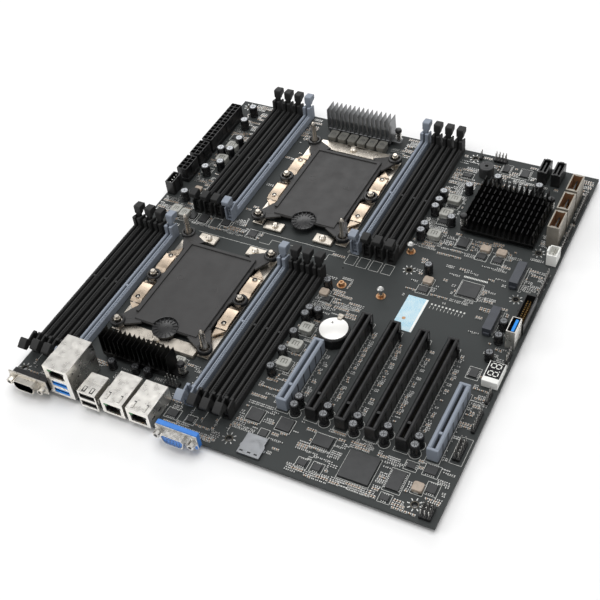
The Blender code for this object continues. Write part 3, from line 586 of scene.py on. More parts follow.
def pin_block(bm, x, y, columns, rows, pitch=2.54, body=0, metal=1, height=8.4):
    """A plain pin header: one plastic cell and one square pin for each place."""
    for column in range(columns):
        for row in range(rows):
            px, py = x + column * pitch, y + row * pitch
            block(bm, about(px, pitch * 0.48), about(py, pitch * 0.48), (0.1, 2.5), body, 0.25)
            block(bm, about(px, 0.32), about(py, 0.32), (2.4, height), metal, 0.1)


def silk_box(bm, x, y, index=0, width=0.22):
    """A printed outline."""
    for edge in y:
        block(bm, x, about(edge, width / 2), SILK, index)
    for edge in x:
        block(bm, about(edge, width / 2), y, SILK, index)


# ---------------------------------------------------------------- settings


class MotherboardSizes(bpy.types.PropertyGroup):
    contact_pitch: bpy.props.FloatProperty(
        name="Contact Pitch", description="Distance between the contacts along a memory slot",
        default=0.0017, min=0.0008, max=0.005, unit="LENGTH",
    )
    latch_width: bpy.props.FloatProperty(
        name="Latch Width", description="Width of a memory latch's stem", default=0.0032, unit="LENGTH"
    )
    head_width: bpy.props.FloatProperty(
        name="Latch Head Width", description="Width of a memory latch's head", default=0.0056, unit="LENGTH"
    )
    fin_count: bpy.props.IntProperty(
        name="Fins", description="Fins on each regulator heatsink", default=15, min=3, max=40
    )
    fin_thickness: bpy.props.FloatProperty(
        name="Fin Thickness", description="Thickness of one heatsink fin", default=0.0011, unit="LENGTH"
    )
    small_part_share: bpy.props.FloatProperty(
        name="Small Part Share", description="Share of the places for small parts that are filled",
        default=0.80, min=0.0, max=1.0, subtype="FACTOR",
    )
    seed: bpy.props.IntProperty(name="Seed", description="Seed for the layout of the small parts", default=7)
    lens: bpy.props.FloatProperty(
        name="Lens", description="Focal length of the camera", default=64.8, unit="CAMERA",
    )


class MotherboardColours(bpy.types.PropertyGroup):
    solder_mask: bpy.props.FloatVectorProperty(
        name="Solder Mask", description="Colour of the board's solder mask",
        default=(0.0090, 0.0092, 0.0100), size=3, subtype="COLOR", min=0.0, max=1.0,
    )
    floor: bpy.props.FloatVectorProperty(
        name="Floor",
        description="Colour of the floor",
        default=(0.90, 0.90, 0.90),
        size=3,
        subtype="COLOR",
        min=0.0,
        max=1.0,
    )


def sizes():
    return bpy.context.scene.motherboard_sizes


def millimetres(name):
    """One of the sizes above, in millimetres."""
    return getattr(sizes(), name) / MILLIMETRE


# ---------------------------------------------------------------- memory

MEMORY_BANKS = {
    "fl": ("dimm_bank_front_left", 1, 3),
    "fr": ("dimm_bank_front_right", 1, 0),
    "rl": ("dimm_bank_rear_left", -1, 3),
    "rr": ("dimm_bank_rear_right", -1, 0),
}
SLOT_WIDTH = 6.6
SLOTS_IN_BANK = 4
KEY_OFFSET = 4.25
CHANNEL_LENGTH = 6.2
TOWER_LENGTH = 8.2


def memory_slot_mesh(length, body_top, tower_top, key_side, plastic):
    """One memory slot along Y from the origin, with its rails, end towers, key and contacts."""
    bm = bmesh.new()
    half = SLOT_WIDTH / 2
    for side in (-1, 1):
        rail = [
            (0.75, 2.0), (0.75, body_top - 0.7), (1.15, body_top), (1.9, body_top), (2.05, body_top - 0.75),
            (half - 0.35, body_top - 0.75), (half, body_top - 1.2), (half, 0.35), (0.75, 0.35),
        ]
        outline = [(side * x, TOWER_LENGTH, z) for x, z in rail]
        extruded(bm, outline, (0.0, length - 2 * TOWER_LENGTH, 0.0), plastic)
        for end, way in ((0.0, 1), (length, -1)):
            inner_end = end + way * CHANNEL_LENGTH
            cheek = [
                (side * half, end, 0.35), (side * half, inner_end, 0.35),
                (side * half, inner_end, tower_top), (side * half, end, tower_top - 1.6),
            ]
            extruded(bm, cheek, (-side * 1.3, 0.0, 0.0), plastic, edge=0.25)
            web = sorted((end + way * CHANNEL_LENGTH, end + way * TOWER_LENGTH))
            block(bm, sorted((side * 0.75, side * half)), web, (0.35, tower_top), plastic, 0.2)
    block(bm, (-0.8, 0.8), (CHANNEL_LENGTH + 0.2, length - CHANNEL_LENGTH - 0.2), (0.35, 2.1), plastic)
    for end in (0.0, length):
        floor = sorted((end, end + (CHANNEL_LENGTH if end == 0.0 else -CHANNEL_LENGTH)))
        block(bm, (-2.1, 2.1), floor, (0.35, 1.0), plastic)
    key_y = length / 2 + key_side * KEY_OFFSET
    block(bm, (-0.8, 0.8), about(key_y, 0.8), (2.0, body_top - 0.1), plastic)
    pitch = millimetres("contact_pitch")
    start, stop = TOWER_LENGTH + 1.5, length - TOWER_LENGTH - 1.5
    for number in range(int((stop - start) / pitch)):
        y = start + number * pitch
        for side in (-1, 1):
            block(
                bm, sorted((side * 1.95, side * (half - 0.5))), about(y, 0.35),
                (body_top - 1.0, body_top - 0.35), plastic,
            )
            if abs(y - key_y) > 1.2:
                block(bm, sorted((side * 0.56, side * 0.8)), about(y, 0.25), (2.2, body_top - 2.4), 1)
    mesh = bpy.data.meshes.new("memory_slot_draft")
    bm.to_mesh(mesh)
    bm.free()
    return mesh


class MOTHERBOARD_OT_memory_banks(bpy.types.Operator):
    """Make the four banks of memory slots"""

    bl_idname = "motherboard.memory_banks"
    bl_label = "Memory Banks"

    def execute(self, context):
        for node, key_side, pale in MEMORY_BANKS.values():
            (x0, x1), (y0, y1), (_, z1) = reach(node)
            drafts = [memory_slot_mesh(y1 - y0, 6.8, z1, key_side, plastic) for plastic in (0, 2)]
            bm = bmesh.new()
            pitch = (x1 - x0 - SLOT_WIDTH) / (SLOTS_IN_BANK - 1)
            for number in range(SLOTS_IN_BANK):
                draft = drafts[1 if number == pale else 0]
                stamp(bm, draft, Matrix.Translation((x0 + SLOT_WIDTH / 2 + number * pitch, y0, 0.0)))
            for draft in drafts:
                bpy.data.meshes.remove(draft)
            finishes = ["black_plastic", "slot_tin", "slate_plastic"]
            keep(bm, node.replace("dimm", "memory") + "_slots", finishes, stands_for=[node])
        return {"FINISHED"}


class MOTHERBOARD_OT_memory_latches(bpy.types.Operator):
    """Make the latches at both ends of every memory slot"""

    bl_idname = "motherboard.memory_latches"
    bl_label = "Memory Latches"

    def execute(self, context):
        joints = {joint["child"]: joint for joint in frame["joints"]}
        for bank, (_, _, pale) in MEMORY_BANKS.items():
            for number in range(SLOTS_IN_BANK):
                for end in ("near", "far"):
                    name = f"latch_{bank}_{number + 1}_{end}"
                    self.latch(name, joints[name], end, number == pale)
        return {"FINISHED"}

    def latch(self, name, joint, end, pale):
        """Drawn upright on its axis with its outside towards +Y, then turned to where it stands."""
        bm = bmesh.new()
        stem = millimetres("latch_width") / 2
        head = millimetres("head_width") / 2
        rod(bm, (-stem, 0, 0), (stem, 0, 0), 1.7, 0, 20)
        faces = block(bm, (-stem, stem), (-1.35, 1.4), (0.2, 12.2), 0)
        outside = face_towards(faces, (0, 1, 0))
        hollow(bm, outside, 0.75, 0.8)
        for height in (3.4, 7.0, 10.2):
            block(bm, (-stem * 0.98, stem * 0.98), (1.2, 1.75), about(height, 0.35), 0, 0.1)
        block(bm, (-stem * 0.8, stem * 0.8), (-2.3, 0.2), (-1.2, 0.2), 0, 0.25)
        side_view = [
            (-1.2, 11.5), (-1.2, 17.4), (-0.7, 18.3), (1.4, 18.3), (5.9, 17.6), (6.3, 17.1), (6.1, 13.9),
            (5.6, 13.3), (2.4, 12.5), (1.8, 11.5),
        ]
        extruded(bm, [(-head, y, z) for y, z in side_view], (head * 2, 0, 0), 0, edge=0.22)
        for number in range(4):
            y = 2.2 + number * 0.9
            block(bm, (-head * 0.8, head * 0.8), about(y, 0.18), about(18.1 - (y - 1.4) * 0.16, 0.22), 0)
        for side in (-1, 1):
            block(bm, about(side * (stem + 0.25), 0.3), (-0.9, 1.0), (10.4, 11.8), 0, 0.12)
        place = (Vector(joint["pos_m"]) - BOARD_CORNER) / MILLIMETRE
        lean = -joint["range_deg"][0]
        facing = Matrix.Identity(4) if end == "far" else Matrix.Rotation(math.pi, 4, "Z")
        matrix = Matrix.Translation(place) @ facing @ Matrix.Rotation(math.radians(-lean), 4, "X")
        bmesh.ops.transform(bm, matrix=matrix, verts=bm.verts)
        plastic = "slate_plastic" if pale else "black_plastic"
        keep(bm, name + "_clip", [plastic], name, [name])


# ---------------------------------------------------------------- processor sockets

# The four corner studs and the two middle ones, from a socket's middle
STUD_X, STUD_Y, MIDDLE_STUD_X = 35.0, 48.0, 35.6
STUDS = [(sx * STUD_X, sy * STUD_Y) for sx in (-1, 1) for sy in (-1, 1)]
STUDS += [(-MIDDLE_STUD_X, 0.0), (MIDDLE_STUD_X, 0.0)]


def socket_middle(which):
    """The middle of a processor socket, from its contact tray."""
    x, y, _ = reach(f"socket_body_{which}")
    return (x[0] + x[1]) / 2, (y[0] + y[1]) / 2


class MOTHERBOARD_OT_sockets(bpy.types.Operator):
    """Make both processor sockets with their steel frames, springs, studs and lift-off caps"""

    bl_idname = "motherboard.sockets"
    bl_label = "Processor Sockets"

    def execute(self, context):
        for which in ("front", "rear"):
            self.steelwork(which)
            self.carrier(which)
            self.cap(which)
        return {"FINISHED"}

    def steelwork(self, which):
        """Load plate, backplate, springs, nuts, guide pins and rivets."""
        cx, cy = socket_middle(which)
        flip = 1 if which == "front" else -1
        bm = bmesh.new()
        steel, spring, dark = 0, 1, 2
        for sx in (-1, 1):
            block(bm, sorted((cx + sx * 30.2, cx + sx * 38.8)), about(cy, 52.0), (0.3, 1.5), steel, 0.25)
        full, parted = cy - flip * 50.2, cy + flip * 51.0
        block(bm, about(cx - 1.0, 30.5), about(full, 5.0), (0.3, 3.4), steel, 0.3)
        block(bm, about(cx - 1.0, 8.0), about(full - flip * 4.6, 1.4), (0.3, 3.4), steel, 0.3)
        for sx in (-1, 1):
            corner_x = cx + sx * 20.6
            block(bm, about(corner_x, 7.6), about(parted, 4.4), (0.3, 2.6), steel, 0.5)
            screw_head(bm, corner_x - sx * 1.0, parted, 2.6, 2.5, steel)
        screw_head(bm, cx - 2.2, full - flip * 0.6, 3.4, 3.0, steel)
        for sx in (-1, 1):
            for sy in (-1, 1):
                near, far = sorted((cy + sy * 5.4, cy + sy * 26.8))
                inner, outer = sorted((cx + sx * 30.7, cx + sx * 39.4))
                strip = [
                    (near, 4.3), (near + 2.2, 4.9), (near + 3.4, 5.7), (far - 3.4, 5.7), (far - 2.2, 4.9),
                    (far, 4.3), (far, 3.8), (far - 2.4, 4.4), (far - 3.6, 5.2), (near + 3.6, 5.2),
                    (near + 2.4, 4.4), (near, 3.8),
                ]
                extruded(bm, [(inner, y, z) for y, z in strip], (outer - inner, 0, 0), spring, edge=0.12)
                hole_y = cy + sy * 22.4
                middle_x = (inner + outer) / 2
                turned(
                    bm, middle_x, hole_y, looped([(1.9, 5.5), (2.25, 5.5), (2.25, 5.95), (1.9, 5.95)]),
                    spring, 20,
                )
                # A dark disc inside the ring: painted shade in the hole round the pin
                post(bm, middle_x, hole_y, (5.5, 5.8), 1.9, dark, 18)
                post(bm, middle_x + 0.3, hole_y - 0.3, (5.6, 5.92), 0.8, steel, 12)
                tip = cy + sy * 34.6
                wedge = [
                    (inner + 0.4, cy + sy * 27.4), (outer - 0.5, cy + sy * 27.4),
                    (outer - 1.2 if sx < 0 else inner + 1.2, tip),
                ]
                plate(bm, wedge, (2.9, 3.9), spring, 0.1)
        for sx, sy in STUDS:
            x, y = cx + sx, cy + sy
            tall = (sx < 0) == (sy > 0) and abs(sy) > 1
            post(bm, x, y, (-4.0, 4.2), 1.9, steel, 16)
            if tall:
                turned(
                    bm, x, y,
                    [
                        (0.0, 4.0), (2.6, 4.0), (2.6, 8.4), (2.1, 9.4), (1.75, 21.4), (1.2, 23.4),
                        (0.5, 24.2), (0.0, 24.2),
                    ],
                    steel, 20,
                )
            else:
                hex_post(bm, (x, y, 3.9), (x, y, 9.2), 2.6, steel)
                turned(bm, x, y, [(0.0, 9.1), (1.9, 9.1), (1.9, 10.2), (1.5, 10.9), (0.0, 10.9)], steel, 18)
        for sx in (-1, 1):
            block(bm, sorted((cx + sx * 20.2, cx + sx * 39.0)), about(cy, 55.0), (-4.2, -2.35), steel, 0.4)
            block(bm, about(cx, 20.2), sorted((cy + sx * 20.2, cy + sx * 55.0)), (-4.2, -2.35), steel, 0.4)
        finishes = ["nickel_plate", "spring_steel", "film_black"]
        keep(
            bm, f"socket_steelwork_{which}", finishes, stands_for=[f"socket_frame_{which}"],
        )

    def carrier(self, which):
        """The moulded contact body under the cap."""
        cx, cy = socket_middle(which)
        x, y, z = reach(f"socket_body_{which}")
        bm = bmesh.new()
        faces = block(bm, x, y, z, 0)
        hollow(bm, face_towards(faces, (0, 0, 1)), 3.0, 1.6)
        for sy in (-1, 1):
            block(bm, about(cx, 20.0), about(cy + sy * 36.9, 0.9), (z[1] - 0.2, z[1] + 0.3), 0, 0.15)
        for column in range(11):
            for row in range(15):
                px, py = cx + (column - 5) * 4.6, cy + (row - 7) * 4.6
                block(bm, about(px, 0.45), about(py, 0.9), (z[1] - 1.7, z[1] - 1.1), 1)
        keep(
            bm, f"socket_contacts_{which}", ["socket_ring_black", "contact_gold"],
            stands_for=[f"socket_body_{which}"],
        )

    def cap(self, which):
        """The lift-off cap: a plate with six stud rings, a panel sunk in a border and a ribbed grip notch."""
        cx, cy = socket_middle(which)
        bm = bmesh.new()
        low, top, panel_top, border_top = 4.6, 6.4, 7.2, 8.1
        half = [
            (0.0, 39.8), (20.0, 40.2), (27.0, 42.4), (31.2, 44.8), (31.2, 38.0), (29.6, 34.0), (29.6, 5.6),
            (30.6, 4.2), (30.6, -4.2), (29.6, -5.6), (29.6, -34.0), (31.2, -38.0), (31.2, -44.8),
            (27.0, -43.6), (22.0, -42.4), (11.0, -42.4), (0.0, -42.4),
        ]
        outline = half + [(-x, y) for x, y in reversed(half) if x > 0.0]
        plate(bm, [(cx + x, cy + y) for x, y in outline], (low, top), 0, edge=0.35)
        near = cy - 42.0
        notch = []
        for step in range(17):
            angle = math.pi - step * math.pi / 16
            notch.append((cx + 9.4 * math.cos(angle), near + 9.4 * math.sin(angle)))
        panel = [(cx - 24.9, near), *notch, (cx + 24.9, near), (cx + 24.9, cy + 36.5), (cx - 24.9, cy + 36.5)]
        plate(bm, panel, (top - 0.2, panel_top), 0, edge=0.25)
        block(bm, about(cx, 27.6), (cy + 36.4, cy + 39.0), (top - 0.2, border_top), 0, 0.3)
        for sx in (-1, 1):
            block(
                bm, sorted((cx + sx * 24.8, cx + sx * 27.6)), (cy - 36.0, cy + 36.8),
                (top - 0.2, border_top), 0, 0.3,
            )
        # The notch's ring and ribs take the darker ring black, and dark rods line its rim: painted shade in
        # the notch
        turned(bm, cx, near, [(0.0, 4.7), (9.2, 4.7), (9.2, 6.3), (8.6, 6.6), (0.0, 6.6)], 1, 40)
        for start, end in zip(notch, notch[1:]):
            rod(bm, (*start, panel_top + 0.1), (*end, panel_top + 0.1), 0.4, 1, 8)
        for number in range(16):
            turn = Matrix.Translation((cx, near, 0)) @ Matrix.Rotation((number + 0.5) * math.tau / 16, 4, "Z")
            block(bm, (5.4, 9.0), about(0.0, 0.4), (5.0, 7.0), 1, 0.12, turn=turn)
        for sx, sy in STUDS:
            ring = looped([(3.45, 4.7), (5.3, 4.7), (5.4, 7.2), (5.0, 7.8), (3.9, 7.8), (3.45, 7.3)])
            turned(bm, cx + sx, cy + sy, ring, 1, 28)
            if abs(sy) > 1:
                sign_x, sign_y = (1 if sx > 0 else -1), (1 if sy > 0 else -1)
                diagonal = Vector((sign_x, sign_y)).normalized()
                sideways = Vector((-diagonal.y, diagonal.x))
                middle = Vector((sx, sy))
                arm = [
                    middle - diagonal * 15.0 + sideways * 8.6, middle - diagonal * 3.2 + sideways * 4.9,
                    middle - diagonal * 3.2 - sideways * 4.9, middle - diagonal * 15.0 - sideways * 8.6,
                ]
                plate(bm, [(cx + x, cy + y) for x, y in arm], (low + 0.1, top - 0.1), 0, 0.2)
            else:
                sign_x = 1 if sx > 0 else -1
                block(
                    bm, sorted((cx + sign_x * 29.0, cx + sx - sign_x * 3.6)), about(cy, 3.6),
                    (low + 0.1, top - 0.1), 0, 0.2,
                )
        for side in (-1, 1):
            for along in (-28.0, 28.0, -10.0):
                block(
                    bm, about(cx + side * 27.6, 0.9), about(cy + along, 1.6), (top - 0.05, top + 0.35), 1,
                    0.12,
                )
        ring = looped(
            [
                (2.3, panel_top - 0.05),
                (2.6, panel_top - 0.05),
                (2.6, panel_top + 0.08),
                (2.3, panel_top + 0.08),
            ]
        )
        turned(bm, cx - 15.0, cy + 4.0, ring, 0, 24)
        for side in (0, 1, 2):
            arm = Matrix.Translation((cx + 15.0, cy + 2.0, 0)) @ Matrix.Rotation(side * math.tau / 3, 4, "Z")
            block(bm, about(0.0, 2.4), about(-1.4, 0.12), (panel_top - 0.05, panel_top + 0.08), 0, turn=arm)
        keep(
            bm, f"socket_cover_{which}", ["socket_black", "socket_ring_black"], f"socket_cap_{which}",
            [f"socket_cap_{which}"],
        )


# ---------------------------------------------------------------- heatsinks


class MOTHERBOARD_OT_heatsinks(bpy.types.Operator):
    """Make the two regulator heatsinks, the chipset heatsink and their push pins"""

    bl_idname = "motherboard.heatsinks"
    bl_label = "Heatsinks"

    def execute(self, context):
        self.finned("front", "black_aluminium")
        self.finned("rear", "grey_aluminium")
        self.chipset()
        return {"FINISHED"}

    def push_pin(self, bm, x, y, base, index, metal):
        """A split plastic pin with a coil spring round it."""
        post(bm, x, y, (base, base + 8.6), 1.3, index, 14)
        turned(
            bm, x, y,
            [(0.0, base + 8.2), (2.6, base + 8.2), (2.8, base + 9.0), (2.3, base + 10.4), (0.0, base + 10.7)],
            index, 18,
        )
        for number in range(5):
            height = base + 1.0 + number * 1.5
            ring = looped([(1.9, height), (2.4, height), (2.4, height + 0.5), (1.9, height + 0.5)])
            turned(bm, x, y, ring, metal, 16)

    def finned(self, which, metal):
        node = f"vrm_heatsink_{which}"
        x, y, z = reach(node)
        bm = bmesh.new()
        base_top = z[0] + 3.4
        block(bm, x, y, (z[0], base_top), 0, 0.3)
        count, thickness = sizes().fin_count, millimetres("fin_thickness")
        pitch = (x[1] - x[0] - thickness) / (count - 1)
        for number in range(count):
            fin_x = x[0] + thickness / 2 + number * pitch
            thick, thin = thickness / 2, thickness * 0.24
            profile = [
                (fin_x - thick, base_top - 0.2), (fin_x - thin, z[1] - 0.3), (fin_x, z[1]),
                (fin_x + thin, z[1] - 0.3), (fin_x + thick, base_top - 0.2),
            ]
            extruded(bm, [(px, y[0] + 0.05, pz) for px, pz in profile], (0, y[1] - y[0] - 0.1, 0), 0)
        pin_x = x[1] + (6.6 if which == "front" else 4.6)
        pin_y = (y[0] + y[1]) / 2
        block(bm, (x[1] - 0.5, pin_x + 3.0), about(pin_y, 3.2), (z[0] + 0.2, z[0] + 1.8), 0, 0.5)
        self.push_pin(bm, pin_x, pin_y, z[0] + 1.6, 1, 2)
        block(bm, (x[0] + 1.0, x[1] - 1.0), (y[0] + 1.0, y[1] - 1.0), (0.4, z[0] + 0.05), 3)
        finishes = [metal, "connector_black", "bright_steel", "chip_resin"]
        keep(bm, f"regulator_heatsink_{which}", finishes, stands_for=[node])

    def chipset(self):
        x, y, z = reach("chipset_heatsink")
        bm = bmesh.new()
        base_top = z[0] + 3.0
        cut = 5.5
        outline = [(x[0], y[0]), (x[1], y[0]), (x[1], y[1] - cut), (x[1] - cut, y[1]), (x[0], y[1])]
        plate(bm, outline, (z[0], base_top), 0, 0.3)
        columns, rows = 14, 8
        for column in range(columns):
            for row in range(rows):
                px = x[0] + 1.4 + column * (x[1] - x[0] - 2.8) / (columns - 1)
                py = y[0] + 2.6 + row * (y[1] - y[0] - 5.2) / (rows - 1)
                if px + py > x[1] + y[1] - cut - 3.2 and column == columns - 1:
                    continue
                if column == 0 and row == 0:
                    continue
                half_x, half_y = 0.75, 2.35
                profile = [
                    (px - half_x, base_top - 0.2), (px - half_x * 0.42, z[1]), (px + half_x * 0.42, z[1]),
                    (px + half_x, base_top - 0.2),
                ]
                extruded(bm, [(a, py - half_y, b) for a, b in profile], (0, half_y * 2, 0), 0)
        self.push_pin(bm, x[0] + 1.0, y[0] + 4.0, z[0] + 2.2, 1, 2)
        self.push_pin(bm, x[1] - 1.6, y[1] - 7.4, z[0] + 0.4, 1, 2)
        block(bm, about((x[0] + x[1]) / 2, 12.0), about((y[0] + y[1]) / 2, 12.0), (0.3, z[0] + 0.05), 3, 0.2)
        finishes = ["black_aluminium", "connector_black", "bright_steel", "chip_resin"]
        keep(bm, "chipset_cooler", finishes, stands_for=["chipset_heatsink"])


# ---------------------------------------------------------------- power row


class MOTHERBOARD_OT_power_row(bpy.types.Operator):
    """Make the power connectors down the left edge"""

    bl_idname = "motherboard.power_row"
    bl_label = "Power Connectors"

    def execute(self, context):
        for node, pairs in (("power_24_pin", 12), ("power_8_pin_far", 4), ("power_8_pin_near", 4)):
            self.connector(node, pairs)
        bm = bmesh.new()
        faces = block(bm, (1.4, 8.0), (200.4, 213.4), (0.3, 12.6), 0)
        # The sunk inside takes the darker black: painted shade in the recess
        hollow(bm, face_towards(faces, (0, 0, 1)), 0.8, 8.0, 1)
        for number in range(4):
            y = 202.4 + number * 3.0
            block(bm, about(4.7, 0.35), about(y, 0.35), (4.0, 11.4), 2)
        for y in (203.4, 210.4):
            block(bm, (7.7, 8.6), about(y, 0.7), (2.0, 13.0), 0, 0.15)
        keep(bm, "fan_connector_left", ["connector_black", "black_and_painted_shade", "bright_steel"])
        return {"FINISHED"}

    def connector(self, node, pairs):
        x, y, z = reach(node)
        bm = bmesh.new()
        middle = (x[0] + x[1]) / 2
        pitch = 4.2
        start = (y[0] + y[1]) / 2 - (pairs - 1) * pitch / 2
        block(bm, (x[0] + 0.4, x[1] - 0.4), (y[0] + 0.3, y[1] - 0.3), (z[0], 4.0), 0, 0.2)
        for column in (-1, 1):
            for number in range(pairs):
                cx, cy = middle + column * pitch / 2, start + number * pitch
                half = pitch / 2 + 0.12
                outline = [
                    (cx - half, cy - half), (cx + half, cy - half), (cx + half, cy + half),
                    (cx - half, cy + half),
                ]
                if (number + (column > 0)) % 2:
                    clip = 0.8
                    outline = [
                        (cx - half + clip, cy - half), (cx + half - clip, cy - half),
                        (cx + half, cy - half + clip), (cx + half, cy + half), (cx - half, cy + half),
                        (cx - half, cy - half + clip),
                    ]
                faces = plate(bm, outline, (3.6, z[1]), 0)
                # Each cell's inside takes the darker black: painted shade in the recess
                hollow(bm, face_towards(faces, (0, 0, 1)), 0.42, 8.6, 1)
                block(bm, about(cx, 0.45), about(cy, 0.45), (4.4, z[1] - 2.6), 2, 0.1)
        lug = (y[0] + y[1]) / 2
        block(bm, (x[1] - 0.4, x[1] - 0.05), about(lug, 1.7), (4.0, z[1] - 1.6), 0, 0.12)
        keep(bm, node + "_socket", ["connector_black", "black_and_painted_shade", "contact_gold"], stands_for=[node])


# ---------------------------------------------------------------- outside ports


def usb_mouth(bm, face_y, middle_x, middle_z, tongue, metal, pins):
    """A rectangular mouth with its rolled rim, tongue and contacts, set just behind a front face."""
    half_x, half_z = 6.3, 2.6
    for z in (middle_z - half_z, middle_z + half_z):
        block(bm, about(middle_x, half_x + 0.3), (face_y - 0.15, face_y + 0.6), about(z, 0.3), metal, 0.1)
    for x in (middle_x - half_x, middle_x + half_x):
        block(bm, about(x, 0.3), (face_y - 0.15, face_y + 0.6), about(middle_z, half_z), metal, 0.1)
    block(
        bm, about(middle_x, 5.7), (face_y + 0.7, face_y + 9.0), (middle_z - 0.3, middle_z + 1.5), tongue,
        0.2,
    )
    for number in range(4):
        x = middle_x + (number - 1.5) * 2.4
        block(bm, about(x, 0.5), (face_y + 1.2, face_y + 8.0), (middle_z - 0.45, middle_z - 0.2), pins)
    for x in (middle_x - 2.9, middle_x + 2.9):
        block(bm, about(x, 0.9), (face_y + 0.2, face_y + 3.5), (middle_z + 1.9, middle_z + 2.3), metal, 0.12)


def open_shell(bm, x, y, z, mouths, metal, dark, depth=11.0):
    """A shield with its front cut into plain bars round rectangular mouths, given as x and z pairs."""
    block(bm, (x[0] + 0.04, x[1] - 0.04), (y[0] + depth, y[1]), (z[0], z[1] - 0.04), metal, 0.3)
    heights = sorted({z[0], z[1], *[edge for mouth in mouths for edge in mouth[1]]})
    for low, high in zip(heights, heights[1:]):
        here = [mouth[0] for mouth in mouths if mouth[1][0] <= low and mouth[1][1] >= high]
        if not here:
            block(bm, x, (y[0], y[0] + depth + 0.2), (low, high), metal)
            continue
        start = x[0]
        for left, right in sorted(here):
            block(bm, (start, left), (y[0], y[0] + depth + 0.2), (low, high), metal)
            start = right
        block(bm, (start, x[1]), (y[0], y[0] + depth + 0.2), (low, high), metal)
    # A dark back wall and liners inside each mouth: painted shade in the mouth
    for mouth_x, mouth_z in mouths:
        block(bm, mouth_x, (y[0] + depth - 1.0, y[0] + depth - 0.4), mouth_z, dark)
        for side in mouth_x:
            inner = sorted((side, side + (0.25 if side == mouth_x[0] else -0.25)))
            block(bm, inner, (y[0] + 0.8, y[0] + depth - 0.6), mouth_z, dark)
        block(bm, mouth_x, (y[0] + 0.8, y[0] + depth - 0.6), (mouth_z[0], mouth_z[0] + 0.25), dark)
        block(bm, mouth_x, (y[0] + 0.8, y[0] + depth - 0.6), (mouth_z[1] - 0.25, mouth_z[1]), dark)


def network_mouth(bm, front, middle_x, z, dark, gold, lamp, plastic):
    """The stepped plastic throat of a network port, with eight spring contacts and two lamps."""
    half = 5.9
    for side in (-1, 1):
        block(
            bm, sorted((middle_x + side * 3.6, middle_x + side * half)), (front + 0.5, front + 4.5),
            (z[0], z[0] + 1.3), dark, 0.1,
        )
        lamp_x = sorted((middle_x + side * 3.9, middle_x + side * 6.6))
        block(
            bm, lamp_x, (front - 0.05, front + 1.4), (z[1] - 1.9, z[1] - 0.1),
            lamp if side < 0 else plastic, 0.1,
        )
    for number in range(8):
        x = middle_x + (number - 3.5) * 1.05
        tilt = Matrix.Translation((x, front + 4.6, z[1] - 1.4)) @ Matrix.Rotation(math.radians(-28), 4, "X")
        block(bm, about(0.0, 0.24), (-3.4, 3.4), about(-1.2, 0.16), gold, turn=tilt)


def spring_window(bm, x, y, z, metal, dark, length=5.4, width=1.5):
    """A pressed spring finger standing in its cut-out on a shield's top."""
    # The cut-out is a dark patch: painted shade in the hole
    block(bm, about(x, width * 0.62), about(y, length / 2 + 0.25), (z - 0.1, z + 0.02), dark, 0.0)
    for offset, height in ((-0.46, 0.3), (-0.1, 0.75), (0.28, 0.5)):
        block(
            bm, about(x, width * 0.55), about(y + offset * length * 0.72, length * 0.19),
            (z - 0.05, z + height), metal, 0.22,
        )


